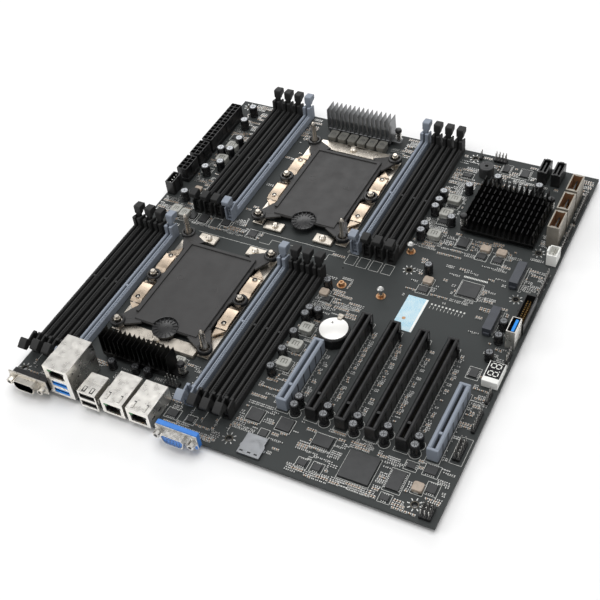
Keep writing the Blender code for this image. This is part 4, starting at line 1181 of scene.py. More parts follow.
class MOTHERBOARD_OT_outside_ports(bpy.types.Operator):
    """Make the row of outside ports along the near edge"""

    bl_idname = "motherboard.outside_ports"
    bl_label = "Outside Ports"

    def execute(self, context):
        self.tall_stack()
        self.short_stack()
        self.network_pair()
        self.d_port("serial_port", "serial")
        self.d_port("vga_port", "video")
        return {"FINISHED"}

    def tall_stack(self):
        x, y, z = reach("lan_usb_stack")
        middle = (x[0] + x[1]) / 2
        bm = bmesh.new()
        mouths = [
            (about(middle, 6.3), about(4.6, 2.6)), (about(middle, 6.3), about(11.6, 2.6)),
            (about(middle, 5.9), (17.2, 24.5)),
        ]
        open_shell(bm, x, y, z, mouths, 0, 1)
        for height in (4.6, 11.6):
            usb_mouth(bm, y[0], middle, height, 2, 0, 3)
            block(bm, about(middle, 5.9), (y[0] + 0.15, y[0] + 0.8), (height - 2.5, height - 1.0), 2, 0.1)
            block(bm, about(middle, 5.9), (y[0] + 0.15, y[0] + 0.8), (height + 1.9, height + 2.5), 2, 0.1)
        network_mouth(bm, y[0], middle, (17.2, 24.5), 1, 3, 4, 1)
        for height in (6.0, 14.8, 21.5):
            for offset in (6.0, 14.0) if height != 14.8 else (10.0,):
                # A dark patch under each side tab: painted shade in its cut-out
                block(bm, (x[1] - 0.05, x[1] + 0.03), about(y[0] + offset, 1.7), about(height, 0.45), 1)
                block(
                    bm, (x[1] - 0.02, x[1] + 0.22), about(y[0] + offset + 0.5, 0.9), about(height, 0.28), 0,
                    0.08,
                )
        block(bm, (x[0] + 0.3, x[1] - 0.3), (y[1] - 0.05, y[1] + 0.02), (14.0, 14.3), 1)
        block(bm, (x[1] - 0.05, x[1] + 0.02), (y[0] + 1.0, y[1] - 1.0), (15.2, 15.4), 1)
        for side in (x[0], x[1]):
            for offset in (7.0, 19.0):
                block(bm, about(side, 0.2), about(y[0] + offset, 0.9), (-3.2, 1.2), 0, 0.1)
        finishes = ["shield_tin", "black_and_painted_shade", "usb_blue", "contact_gold", "lamp_green"]
        keep(bm, "network_usb_stack", finishes, stands_for=["lan_usb_stack"])

    def short_stack(self):
        x, y, z = reach("usb_stack")
        middle = (x[0] + x[1]) / 2
        bm = bmesh.new()
        mouths = [(about(middle, 6.3), about(height, 2.6)) for height in (4.6, 11.8)]
        open_shell(bm, x, y, z, mouths, 0, 1, depth=9.5)
        for height in (4.6, 11.8):
            usb_mouth(bm, y[0], middle, height, 1, 0, 3)
        for side in (-2.9, 2.9):
            # A dark patch under each spring finger: painted shade in its cut-out
            block(bm, about(middle + side, 1.35), (y[0] + 1.0, y[0] + 5.6), (z[1] - 0.05, z[1] + 0.02), 1)
            finger = [(-0.95, 5.2), (0.95, 5.2), (0.5, 1.7), (-0.5, 1.7)]
            outline = [(middle + side + px, y[0] + py) for px, py in finger]
            plate(bm, outline, (z[1] - 0.05, z[1] + 0.16), 0, 0.06)
        for offset in (3.0, 9.0):
            block(bm, about(x[1], 0.15), about(y[0] + offset, 1.3), about(8.0, 1.6), 0, 0.1)
        finishes = ["shield_tin", "black_and_painted_shade", "usb_blue", "contact_gold"]
        keep(bm, "usb_pair", finishes, stands_for=["usb_stack"])

    def network_pair(self):
        x, y, z = reach("lan_port_pair")
        bm = bmesh.new()
        half = 8.5
        for middle in (x[0] + half, x[1] - half):
            mouth = (about(middle, 5.9), (2.2, 10.0))
            open_shell(bm, about(middle, half), y, z, [mouth], 0, 1)
            network_mouth(bm, y[0], middle, mouth[1], 1, 3, 4, 1)
            for side in (-4.6, 4.6):
                spring_window(bm, middle + side, y[0] + 4.4, z[1], 0, 1)
            for offset in (4.6, 12.0):
                # Dark patches on the side: painted shade in the shield's cut-outs
                block(bm, about(middle + half, 0.16), about(y[0] + offset, 1.6), about(6.0, 0.5), 1)
            for edge in (-1, 1):
                block(bm, about(middle + edge * half, 0.18), about(y[1] - 5.0, 0.9), (-3.2, 1.4), 0, 0.1)
        finishes = ["shield_tin", "black_and_painted_shade", "usb_blue", "contact_gold", "lamp_green"]
        keep(bm, "network_ports", finishes, stands_for=["lan_port_pair"])

    def d_port(self, node, kind):
        """A D-shaped port: body, flange, shell, insert with its pins, and two jackscrews."""
        x, y, z = reach(node)
        middle = (x[0] + x[1]) / 2
        centre = 6.6
        bm = bmesh.new()
        video = kind == "video"
        body_half = 15.0 if video else 13.9
        flange_top = z[1]
        block(bm, about(middle, body_half), (-4.3, y[1]), (0.3, z[1] - 0.3 if video else 10.2), 1, 0.4)
        if video:
            for side in (-1, 1):
                block(bm, about(middle + side * 13.9, 1.1), (-5.6, -1.0), (0.6, 5.4), 1, 0.3)
        flange_z = (0.6, flange_top - 0.5) if video else (0.4, flange_top)
        block(bm, (x[0] + 0.1, x[1] - 0.1), (-5.4, -4.2), flange_z, 0, 0.35)
        outer = self.d_outline(middle, centre, 8.5, 4.2)
        inner = self.d_outline(middle, centre, 7.9, 3.6)
        self.shell(bm, outer, inner, -10.4, -5.2, 0)
        insert = self.d_outline(middle, centre, 7.85, 3.55)
        deep = -9.6 if video else -9.3
        extruded(bm, [(px, deep, pz) for px, pz in insert], (0, -4.6 - deep, 0), 2)
        rows = ((5, 1.9), (5, 0.0), (5, -1.9)) if video else ((5, 1.35), (4, -1.35))
        for count, height in rows:
            for number in range(count):
                px = middle + (number - (count - 1) / 2) * (2.3 if video else 2.75)
                if video and height == 0.0:
                    px += 0.5
                if video:
                    # Dark dots in the insert: painted shade in the pin holes
                    rod(
                        bm, (px, deep - 0.04, centre + height), (px, deep + 0.5, centre + height), 0.45, 4,
                        10,
                    )
                else:
                    rod(bm, (px, -10.2, centre + height), (px, -9.0, centre + height), 0.5, 3, 10, edge=0.1)
        for side in (-1, 1):
            sx = middle + side * 12.5
            hex_post(bm, (sx, -9.8, centre), (sx, -5.2, centre), 2.5, 0)
            # A dark disc in the jackscrew's end: painted shade in its threaded hole
            rod(bm, (sx, -9.85, centre), (sx, -9.2, centre), 1.25, 4, 16)
            rod(bm, (sx, -5.9, centre), (sx, -5.3, centre), 2.9, 0, 20, edge=0.1)
        if not video:
            for number in range(5):
                px = middle + (number - 2) * 4.2
                block(bm, about(px, 1.2), about(-5.42, 0.06), (flange_top - 1.6, flange_top - 0.6), 0, 0.04)
        names = ["zinc_shell", "connector_black", "insert_brown", "contact_gold", "black_and_painted_shade"]
        if video:
            names = ["bright_steel", "port_blue", "port_blue", "contact_gold", "black_and_painted_shade"]
        keep(
            bm, f"{kind}_connector", names, stands_for=[node],
        )

    def d_outline(self, middle, centre, half_x, half_z):
        clip, slope = 1.5, 1.2
        return [
            (middle - half_x + clip, centre + half_z), (middle + half_x - clip, centre + half_z),
            (middle + half_x, centre + half_z - clip), (middle + half_x - slope, centre - half_z + clip),
            (middle + half_x - slope - clip, centre - half_z),
            (middle - half_x + slope + clip, centre - half_z),
            (middle - half_x + slope, centre - half_z + clip), (middle - half_x, centre + half_z - clip),
        ]

    def shell(self, bm, outer, inner, front, back, index):
        """A thin closed tube between two outlines of the same count."""
        rings = []
        for outline, depth in ((outer, back), (outer, front), (inner, front), (inner, back)):
            points = [bm.verts.new((px, depth, pz)) for px, pz in outline]
            rings.append([bm.edges.new((a, b)) for a, b in zip(points, points[1:] + points[:1])])
        for first, second in zip(rings, rings[1:] + rings[:1]):
            made = bmesh.ops.bridge_loops(bm, edges=first + second)
            for face in made["faces"]:
                face.material_index = index


# ---------------------------------------------------------------- expansion slots


class MOTHERBOARD_OT_expansion_slots(bpy.types.Operator):
    """Make the six expansion slots and the pairs of capacitors at their near ends"""

    bl_idname = "motherboard.expansion_slots"
    bl_label = "Expansion Slots"

    def execute(self, context):
        x, y, z = reach("pcie_x8_left")
        self.slots("expansion_slot_short_left", [((x[0] + x[1]) / 2, y)], z, "slate_plastic", "pcie_x8_left")
        x, y, z = reach("pcie_x8_right")
        self.slots(
            "expansion_slot_short_right", [((x[0] + x[1]) / 2, y)], z, "slate_plastic", "pcie_x8_right",
        )
        x, y, z = reach("pcie_x16_bank")
        pitch = (x[1] - x[0] - 7.5) / 3
        places = [(x[0] + 3.75 + number * pitch, y) for number in range(4)]
        self.slots("expansion_slots_long", places, z, "connector_black", "pcie_x16_bank", "black_plastic")
        bm = bmesh.new()
        first = reach("pcie_x8_left")[0][0] + 3.75
        for number in range(5):
            for offset in (1.2, 8.1):
                capacitor(bm, first + number * EXPANSION_PITCH + 8.9, y[0] + offset)
        keep(bm, "slot_capacitors", ["can_sleeve", "can_aluminium"])
        return {"FINISHED"}

    def slots(self, name, places, z, plastic, node, slot="slate_plastic"):
        bm = bmesh.new()
        for middle, y in places:
            self.slot(bm, middle, y, z, len(places) > 1)
        keep(bm, name, [plastic, "slot_tin", "black_and_painted_shade", "solder"], stands_for=[node])

    def slot(self, bm, middle, y, z, hooked):
        half, groove = 3.75, 1.0
        key = (y[0] + 13.3, y[0] + 15.1)
        for side in (-1, 1):
            rail = [
                (groove, 3.2), (groove, z[1] - 1.0), (groove + 0.7, z[1]), (half - 0.9, z[1]),
                (half, z[1] - 0.8), (half, z[0]), (groove, z[0]),
            ]
            outline = [(middle + side * px, y[0] + 1.9, pz) for px, pz in rail]
            extruded(bm, outline, (0, y[1] - y[0] - 3.8, 0), 0)
            start = y[0] + 8.0
            while start < y[1] - 4.0:
                block(
                    bm, sorted((middle + side * (half - 0.05), middle + side * (half + 0.12))),
                    about(start, 0.45), (z[0], z[1] - 1.3), 2,
                )
                start += 8.4
        # The groove's floor is dark: painted shade in the groove
        block(bm, about(middle, groove + 0.1), (y[0] + 1.9, y[1] - 1.9), (z[0], 3.4), 2)
        for end in (y[0], y[1] - 2.0):
            block(bm, about(middle, half), (end, end + 2.0), (z[0], z[1]), 0, 0.4)
        block(bm, about(middle, groove + 0.1), key, (3.2, z[1] - 0.4), 0)
        place = y[0] + 3.0
        while place < y[1] - 2.6:
            if not key[0] - 0.6 < place < key[1] + 0.6:
                for side in (-1, 1):
                    inside = sorted((middle + side * (groove - 0.32), middle + side * (groove + 0.05)))
                    block(bm, inside, about(place, 0.28), (3.6, z[1] - 4.6), 1)
                foot = middle + half + 0.9 + (0.9 if int(place / 1.9) % 2 else 0.0)
                block(bm, about(foot, 0.34), about(place, 0.34), (0.02, 0.45), 3)
            place += 1.9
        if hooked:
            hook = [
                (middle + 0.4, y[1] - 1.6), (middle + half, y[1] - 1.6), (middle + half + 2.4, y[1] - 6.6),
                (middle + half + 1.2, y[1] - 7.4), (middle + half - 0.2, y[1] - 3.4),
            ]
            plate(bm, hook, (z[1] - 6.4, z[1] - 0.6), 0, 0.25)
            block(bm, about(middle + half + 1.8, 0.7), about(y[1] - 7.2, 0.7), (z[0], z[1] - 1.2), 0, 0.2)


# ---------------------------------------------------------------- right-hand connectors and battery


class MOTHERBOARD_OT_right_edge(bpy.types.Operator):
    """Make the connectors, headers and display down the right edge"""

    bl_idname = "motherboard.right_edge"
    bl_label = "Right Edge Connectors"

    def execute(self, context):
        self.storage_ports()
        self.card_sockets()
        self.headers()
        self.display()
        return {"FINISHED"}

    def storage_ports(self):
        x, y, z = reach("storage_port_bank")
        bm = bmesh.new()
        middle = (x[0] + x[1]) / 2
        for number in range(3):
            cy = y[0] + 9.4 + number * (y[1] - y[0] - 18.8) / 2
            faces = block(bm, x, about(cy, 9.4), (z[0], z[1]), 0)
            hollow(bm, face_towards(faces, (0, 0, 1)), 0.95, 12.0, 1)
            block(bm, about(middle, 0.6), about(cy, 6.4), (7.0, 15.6), 2, 0.2)
            for side in (-1, 1):
                for pin in range(9):
                    block(
                        bm, about(middle + side * 0.65, 0.1), about(cy + (pin - 4) * 1.3, 0.3), (8.0, 15.0),
                        3,
                    )
            for end in (-1, 1):
                block(bm, about(middle, 2.2), about(cy + end * 8.7, 0.9), (z[1] - 0.2, z[1] + 0.1), 0, 0.1)
                block(bm, sorted((x[0] - 0.15, x[0] + 0.1)), about(cy + end * 5.0, 1.3), (4.0, 12.0), 0, 0.08)
        keep(
            bm, "storage_ports", ["cream_plastic", "insert_brown", "connector_black", "contact_gold"],
            stands_for=["storage_port_bank"],
        )

    def card_sockets(self):
        """Two small board sockets, two serial storage ports, a round sounder and a stood-up USB port."""
        bm = bmesh.new()
        for left, near in ((280.0, 197.0), (278.0, 150.0)):
            faces = block(bm, (left, left + 6.0), (near, near + 22.0), (0.3, 6.6), 0)
            # The sunk mouth takes the darker black: painted shade in the recess
            hollow(bm, face_towards(faces, (-1, 0, 0)), 1.2, 3.0, 2)
            block(bm, (left + 0.8, left + 5.2), (near - 0.8, near + 22.8), (0.3, 3.0), 0, 0.3)
            for pin in range(20):
                block(bm, (left + 6.0, left + 6.9), about(near + 1.5 + pin, 0.22), (0.03, 0.4), 4)
        keep(
            bm, "card_sockets", ["dark_slate", "connector_black", "black_and_painted_shade", "contact_gold", "solder"],
        )
        bm = bmesh.new()
        for middle in (266.5, 277.0):
            faces = block(bm, about(middle, 3.4), about(318.0, 8.2), (0.3, 11.4), 0)
            # The sunk inside takes the darker black: painted shade in the recess
            hollow(bm, face_towards(faces, (0, 0, 1)), 1.0, 6.4, 1)
            block(bm, about(middle - 0.3, 0.6), about(318.0, 5.6), (4.6, 10.6), 0, 0.1)
            for end in (-1, 1):
                block(bm, about(middle, 1.5), about(318.0 + end * 7.6, 0.8), (9.0, 12.0), 0, 0.2)
        keep(bm, "serial_storage_ports", ["connector_black", "black_and_painted_shade", "contact_gold"])
        bm = bmesh.new()
        turned(
            bm, 224.8, 306.3,
            [(0.0, 0.3), (5.7, 0.3), (5.7, 8.6), (5.3, 9.2), (1.4, 9.2), (1.2, 8.9), (1.2, 6.0), (0.0, 6.0)],
            0, 36,
        )
        turned(bm, 224.8, 306.3, looped([(3.2, 9.15), (3.5, 9.15), (3.5, 9.3), (3.2, 9.3)]), 0, 30)
        keep(bm, "sounder", ["chip_resin"])
        bm = bmesh.new()
        faces = block(bm, about(299.0, 3.1), about(151.2, 6.9), (0.3, 16.6), 0)
        # The sunk inside takes the darker black: painted shade in the recess
        hollow(bm, face_towards(faces, (0, 0, 1)), 0.5, 9.0, 1)
        block(bm, about(299.7, 1.0), about(151.2, 5.5), (7.0, 16.2), 2, 0.15)
        for pin in range(4):
            block(bm, about(298.6, 0.1), about(151.2 + (pin - 1.5) * 2.4, 0.5), (8.0, 15.4), 3)
        for end in (-1, 1):
            block(bm, about(295.9, 0.1), about(151.2 + end * 3.0, 0.9), (5.0, 11.0), 1)
        keep(
            bm, "upright_usb_port", ["shield_tin", "black_and_painted_shade", "usb_blue", "contact_gold"],
        )

    def headers(self):
        bm = bmesh.new()
        faces = block(bm, (295.6, 303.2), (158.8, 187.6), (0.3, 9.4), 0)
        # The sunk inside takes the darker black: painted shade in the recess
        hollow(bm, face_towards(faces, (0, 0, 1)), 0.8, 7.4, 1)
        for column in (298.4, 300.4):
            for pin in range(10):
                block(bm, about(column, 0.25), about(164.2 + pin * 2.0, 0.25), (2.0, 8.2), 2)
        block(bm, (295.0, 296.0), about(173.2, 2.2), (5.6, 9.6), 0, 0.2)
        keep(bm, "boxed_header", ["connector_black", "black_and_painted_shade", "contact_gold"])
        bm = bmesh.new()
        faces = block(bm, (296.4, 303.4), (227.8, 238.6), (0.3, 9.8), 0)
        hollow(bm, face_towards(faces, (0, 0, 1)), 0.8, 6.0)
        for pin in range(4):
            block(bm, about(299.9, 0.3), about(229.6 + pin * 2.4, 0.3), (3.4, 8.8), 1)
        block(bm, (295.6, 297.0), about(233.2, 2.6), (0.5, 11.0), 0, 0.2)
        keep(bm, "white_header", ["white_plastic", "bright_steel"])
        bm = bmesh.new()
        pin_block(bm, 294.6, 3.6, 3, 4)
        pin_block(bm, 297.6, 49.0, 2, 6, height=8.0)
        pin_block(bm, 300.9, 72.0, 1, 7)
        pin_block(bm, 300.9, 96.0, 1, 4)
        pin_block(bm, 301.2, 132.0, 1, 4)
        pin_block(bm, 301.6, 192.0, 1, 11, height=7.6)
        pin_block(bm, 302.2, 241.0, 1, 12, height=6.0)
        pin_block(bm, 302.2, 276.0, 1, 14, height=6.0)
        pin_block(bm, 214.6, 322.6, 1, 2)
        pin_block(bm, 226.0, 324.0, 4, 2)
        pin_block(bm, 104.6, 32.6, 4, 2, height=8.8)
        pin_block(bm, 166.6, 322.0, 1, 1)
        keep(bm, "pin_headers", ["connector_black", "bright_steel"])

    def display(self):
        """A two-digit display, both digits lit as eights with their points."""
        bm = bmesh.new()
        block(bm, (292.7, 303.5), (108.2, 125.6), (0.4, 6.6), 0, 0.2)
        block(bm, (293.3, 303.0), (112.0, 125.2), (6.5, 6.75), 1, 0.05)
        for middle_y in (115.3, 121.9):
            self.digit(bm, 298.0, middle_y)
        for pin in range(5):
            for x in (293.8, 302.4):
                block(bm, about(x, 0.25), about(110.4 + pin * 3.2, 0.25), (-3.0, 0.5), 3)
        keep(
            bm, "two_digit_display", ["white_plastic", "film_black", "digit_white", "solder"],
        )

    def digit(self, bm, x, y):
        """Seven bars and a point, read from the left edge of the board."""
        height, width, thick = 3.2, 1.75, 0.34
        level = (6.7, 6.86)
        for step in (-1, 0, 1):
            block(bm, about(x + step * height, thick), about(y, width - 0.45), level, 2, 0.06)
        for step in (-1, 1):
            for side in (-1, 1):
                block(
                    bm, about(x + step * height / 2, height / 2 - 0.5), about(y + side * width, thick),
                    level, 2, 0.06,
                )
        post(bm, x + height + 0.1, y + width + 0.95, level, 0.36, 2, 10)


class MOTHERBOARD_OT_battery(bpy.types.Operator):
    """Make the coin cell, its holder and its clip"""

    bl_idname = "motherboard.battery"
    bl_label = "Coin Cell and Holder"

    def execute(self, context):
        x, y, z = reach("battery_holder")
        _, _, cell_z = reach("coin_cell")
        middle_x, middle_y = (x[0] + x[1]) / 2, (y[0] + y[1]) / 2
        bm = bmesh.new()
        wall = [
            (0.0, z[0]), (11.0, z[0]), (11.1, 5.0), (11.1, z[1] - 0.4), (10.8, z[1]), (10.4, z[1]),
            (10.25, 5.6), (0.0, 5.6),
        ]
        turned(bm, middle_x, middle_y, wall, 0, 48)
        block(bm, about(middle_x, 3.6), about(middle_y - 10.2, 0.9), (z[0], z[1] - 0.2), 0, 0.3)
        post(bm, middle_x, middle_y, (5.5, 6.0), 2.2, 1, 16)
        keep(bm, "cell_holder", ["connector_black", "bright_steel"], stands_for=["battery_holder"])
        bm = bmesh.new()
        top, bottom = cell_z[1], cell_z[0]
        profile = [
            (0.0, bottom), (8.8, bottom), (9.0, bottom + 0.4), (9.9, bottom + 0.5), (10.0, bottom + 0.8),
            (10.0, top - 0.4), (9.75, top - 0.1), (9.4, top), (0.0, top),
        ]
        turned(bm, middle_x, middle_y, profile, 0, 64)
        cross = Matrix.Translation((middle_x - 3.0, middle_y + 4.6, 0)) @ Matrix.Rotation(0.6, 4, "Z")
        for half_x, half_y in ((1.2, 0.2), (0.2, 1.2)):
            block(bm, about(0.0, half_x), about(0.0, half_y), (top - 0.05, top + 0.015), 1, turn=cross)
        keep(bm, "cell", ["cell_steel", "film_black"], "coin_cell", ["coin_cell"])
        bm = bmesh.new()
        block(bm, about(middle_x, 2.0), (middle_y + 10.6, middle_y + 13.2), (0.3, 10.2), 0, 0.25)
        block(bm, about(middle_x, 1.6), (middle_y + 8.6, middle_y + 11.4), (9.5, 10.0), 0, 0.15)
        keep(bm, "cell_clip", ["nickel_plate"])
        return {"FINISHED"}


# ---------------------------------------------------------------- board and small parts

TALL_CAPACITORS = (  # middle x and y, radius, height
    (17.6, 313.9, 3.4, 9.6),
    (19.1, 295.8, 3.4, 9.6),
    (27.1, 272.7, 3.4, 9.6),
    (19.1, 256.6, 3.4, 9.6),
    (26.6, 258.0, 3.4, 9.6),
    (19.1, 231.5, 3.4, 9.6),
    (27.1, 241.0, 3.4, 9.6),
    (19.1, 199.3, 3.4, 9.6),
    (164.1, 100.4, 3.2, 8.6),
    (164.1, 83.7, 3.2, 8.6),
    (164.1, 67.5, 3.2, 8.6),
    (164.3, 124.0, 3.2, 8.6),
    (170.5, 124.5, 3.2, 8.6),
    (163.9, 118.1, 3.2, 8.6),
    (164.3, 152.5, 3.2, 8.6),
    (205.4, 268.0, 3.3, 9.6),
    (205.4, 258.2, 3.3, 9.6),
    (205.4, 250.3, 3.3, 9.6),
    (205.4, 229.7, 3.3, 9.6),
    (205.4, 222.3, 3.3, 9.6),
    (220.1, 281.8, 3.3, 9.0),
    (220.6, 243.5, 3.3, 9.0),
    (236.4, 298.5, 3.2, 8.6),
    (268.3, 299.0, 3.2, 8.6),
    (224.1, 190.9, 3.2, 9.4),
    (289.5, 159.9, 3.1, 8.2),
    (290.4, 147.1, 3.1, 8.2),
    (290.0, 130.9, 3.1, 8.2),
    (62.6, 31.4, 3.0, 8.2),
    (79.2, 34.2, 3.0, 6.4),
    (88.6, 34.6, 3.0, 6.4),
)
POWER_CHOKES = (  # middle x and y, half width, half depth, height
    (23.0, 267.5, 4.6, 4.2, 5.2),
    (23.0, 250.2, 4.6, 4.2, 5.2),
    (20.4, 183.7, 4.0, 4.2, 5.0),
    (28.7, 181.9, 3.6, 4.2, 5.0),
    (168.8, 109.8, 4.6, 4.1, 4.6),
    (168.8, 93.5, 4.6, 4.1, 4.6),
    (168.8, 76.6, 4.6, 4.1, 4.6),
    (213.9, 267.9, 4.8, 4.0, 4.8),
    (213.9, 251.1, 4.8, 4.0, 4.8),
    (213.9, 226.8, 4.8, 4.0, 4.8),
    (102.8, 52.6, 3.8, 3.0, 3.6),
)
RESIN_INDUCTORS = (
    (164.6, 145.7, 3.2, 3.2, 3.2), (227.2, 182.5, 3.4, 3.2, 3.2), (253.1, 226.7, 3.6, 3.0, 3.2),
    (265.0, 226.7, 3.6, 3.0, 3.2), (285.9, 21.0, 3.4, 3.3, 3.2), (22.6, 212.4, 3.0, 2.6, 2.8),
)
CHIPS = (  # middle x and y, half width, half depth, sides with leads, height
    (248.0, 20.8, 10.0, 10.2, "", 1.9),
    (170.6, 32.8, 4.9, 4.7, "", 1.2),
    (191.8, 32.8, 4.7, 4.7, "", 1.2),
    (219.6, 30.2, 5.6, 4.2, "NS", 1.8),
    (271.8, 21.0, 4.2, 7.0, "WE", 1.6),
    (256.4, 185.0, 6.6, 6.8, "NSWE", 1.5),
    (182.0, 22.0, 2.6, 2.6, "", 1.0),
    (288.6, 36.0, 3.4, 3.0, "NS", 1.4),
    (235.6, 228.4, 3.6, 4.6, "WE", 1.6),
    (214.6, 11.2, 2.6, 2.2, "NS", 1.2),
    (224.4, 11.4, 2.4, 2.4, "NS", 1.2),
    (285.0, 116.4, 2.6, 3.6, "WE", 1.4),
    (87.4, 182.6, 3.2, 3.2, "NSWE", 1.2),
    (43.6, 184.6, 3.4, 4.0, "", 1.2),
    (34.4, 184.4, 2.4, 3.4, "", 1.2),
    (62.0, 186.4, 3.0, 3.0, "", 1.2),
    (17.0, 236.4, 2.6, 2.2, "WE", 1.2),
    (17.6, 281.6, 2.6, 2.4, "NS", 1.2),
    (167.8, 142.0, 2.8, 2.4, "NS", 1.2),
    (226.8, 174.4, 3.2, 2.6, "NS", 1.2),
    (252.6, 219.8, 2.8, 2.6, "NS", 1.2),
    (264.6, 219.8, 2.8, 2.6, "NS", 1.2),
    (120.6, 13.6, 3.4, 2.6, "NS", 1.3),
    (134.0, 13.4, 2.2, 2.0, "WE", 1.2),
    (212.0, 300.6, 3.0, 2.0, "NS", 1.2),
    (237.0, 318.0, 2.4, 4.0, "WE", 1.3),
    (252.0, 317.0, 3.0, 4.2, "WE", 1.3),
    (214.0, 263.8, 3.2, 1.8, "NS", 1.2),
    (214.0, 244.6, 3.2, 1.8, "NS", 1.2),
    (276.0, 34.6, 2.6, 2.0, "WE", 1.2),
    (293.6, 24.0, 2.6, 3.2, "NS", 1.2),
    (270.6, 7.6, 2.4, 2.0, "NS", 1.2),
)
SMALL_PART_FIELDS = {  # name: x reach, y reach, share of the usual filling, for each field of that group
    "left": (
        ((11.5, 31.0), (199.0, 328.0), 0.95), ((1.5, 31.0), (181.0, 199.0), 0.85),
        ((8.0, 31.0), (164.0, 181.0), 0.45),
    ),
    "middle": (
        ((31.0, 96.0), (177.0, 189.0), 0.75), ((66.5, 96.0), (189.0, 198.0), 0.9),
        ((60.5, 77.5), (298.0, 328.0), 0.8), ((60.5, 80.0), (200.0, 298.0), 0.16),
        ((84.0, 160.0), (297.5, 303.0), 0.5), ((144.0, 164.0), (297.0, 329.0), 0.85),
        ((96.0, 120.0), (200.0, 204.5), 0.5), ((152.0, 164.0), (180.0, 205.0), 0.35),
    ),
    "near": (
        ((46.0, 123.0), (29.0, 36.5), 0.75), ((98.0, 123.0), (36.5, 62.0), 0.85),
        ((111.0, 123.0), (22.0, 29.5), 0.9), ((117.0, 161.0), (2.4, 21.5), 0.95),
        ((2.0, 32.0), (3.0, 22.0), 0.35), ((66.0, 76.0), (24.0, 30.0), 0.7),
    ),
    "regulators": (
        ((159.5, 178.5), (46.0, 165.0), 0.75), ((176.0, 196.0), (128.0, 148.0), 0.7),
        ((200.5, 222.5), (214.0, 298.0), 0.9), ((221.5, 276.0), (210.0, 236.5), 0.62),
        ((200.5, 282.0), (293.0, 327.5), 0.72), ((214.0, 248.0), (164.0, 206.0), 0.42),
        ((246.0, 270.0), (168.0, 204.0), 0.42),
    ),
    "front_right": (
        ((160.0, 205.0), (19.0, 41.5), 0.75), ((205.0, 236.0), (2.6, 41.5), 0.55),
        ((234.5, 262.0), (4.0, 9.5), 0.95), ((234.5, 262.0), (33.0, 41.5), 0.95),
        ((260.0, 303.0), (2.6, 41.5), 0.80), ((178.0, 204.0), (2.6, 19.0), 0.10),
    ),
    "right_edge": (
        ((288.5, 303.4), (42.0, 130.0), 0.42), ((284.5, 303.4), (186.0, 240.0), 0.40),
        ((268.0, 290.0), (146.0, 226.0), 0.30), ((285.5, 303.8), (236.0, 327.0), 0.62),
        ((284.0, 303.4), (128.0, 160.0), 0.55),
    ),
    "between_slots": tuple(
        (
            (FIRST_SLOT_X + EXPANSION_PITCH * number + 6.2, FIRST_SLOT_X + EXPANSION_PITCH * number + 10.8),
            (58.0, 128.0 if 0 < number < 5 else 96.0), 0.85,
        )
        for number in range(5)
    ),
}


def footprints():
    """What small parts keep clear of: the x and y reach of everything larger on the board."""
    taken = []
    for name in frame["nodes"]:
        x, y, z = reach(name)
        if name == "pcb" or z[1] < 0.0:
            continue
        if name.startswith("socket"):
            continue
        if name == "pcie_x16_bank":
            for number in range(4):
                left = x[0] + number * (x[1] - x[0] - 7.5) / 3
                taken.append(((left, left + 9.6), y))
            continue
        taken.append((x, y))
    for which in ("front", "rear"):
        cx, cy = socket_middle(which)
        taken.append((about(cx, 41.0), about(cy, 56.5)))
    for x, y, radius, _ in TALL_CAPACITORS:
        taken.append((about(x, radius), about(y, radius)))
    for x, y, half_x, half_y, _ in POWER_CHOKES + RESIN_INDUCTORS:
        taken.append((about(x, half_x + 0.3), about(y, half_y + 0.5)))
    for x, y, half_x, half_y, leads, height in CHIPS:
        taken.append((about(x, half_x + 1.3), about(y, half_y + 1.3)))
    taken += [
        (about(209.5 + EXPANSION_PITCH * number - 16.1, 3.6), (40.0, 54.8)) for number in range(5)
    ]
    taken += [
        ((279.0, 287.0), (195.0, 221.0)), ((277.0, 285.0), (148.0, 174.0)),
        ((262.5, 281.0), (309.0, 327.0)), (about(224.8, 6.2), about(306.3, 6.2)),
        ((295.0, 304.0), (143.5, 188.5)), ((295.0, 304.2), (226.6, 239.8)),
        ((292.0, 304.0), (107.0, 126.5)), ((292.6, 304.0), (1.6, 14.0)), ((295.6, 303.0), (47.0, 63.5)),
        ((1.0, 9.0), (199.0, 214.5)), ((172.5, 190.5), (1.5, 18.8)), ((92.0, 143.0), (300.4, 312.6)),
        ((217.0, 236.0), (132.0, 168.5)), ((102.6, 115.0), (29.5, 38.6)), ((106.0, 119.0), (38.0, 46.5)),
        ((143.0, 153.0), (313.0, 323.0)), ((224.0, 237.0), (321.0, 329.0)),
    ]
    for x, y in MOUNTING_HOLES:
        taken.append((about(x, 4.6), about(y, 4.6)))
    for x, y in ((204.0, 207.0), (202.0, 158.0), (172.0, 158.0)):
        taken.append((about(x, 4.0), about(y, 4.0)))
    return taken


def is_clear(x, y, taken):
    return not any(x[1] > a[0] and x[0] < a[1] and y[1] > b[0] and y[0] < b[1] for a, b in taken)


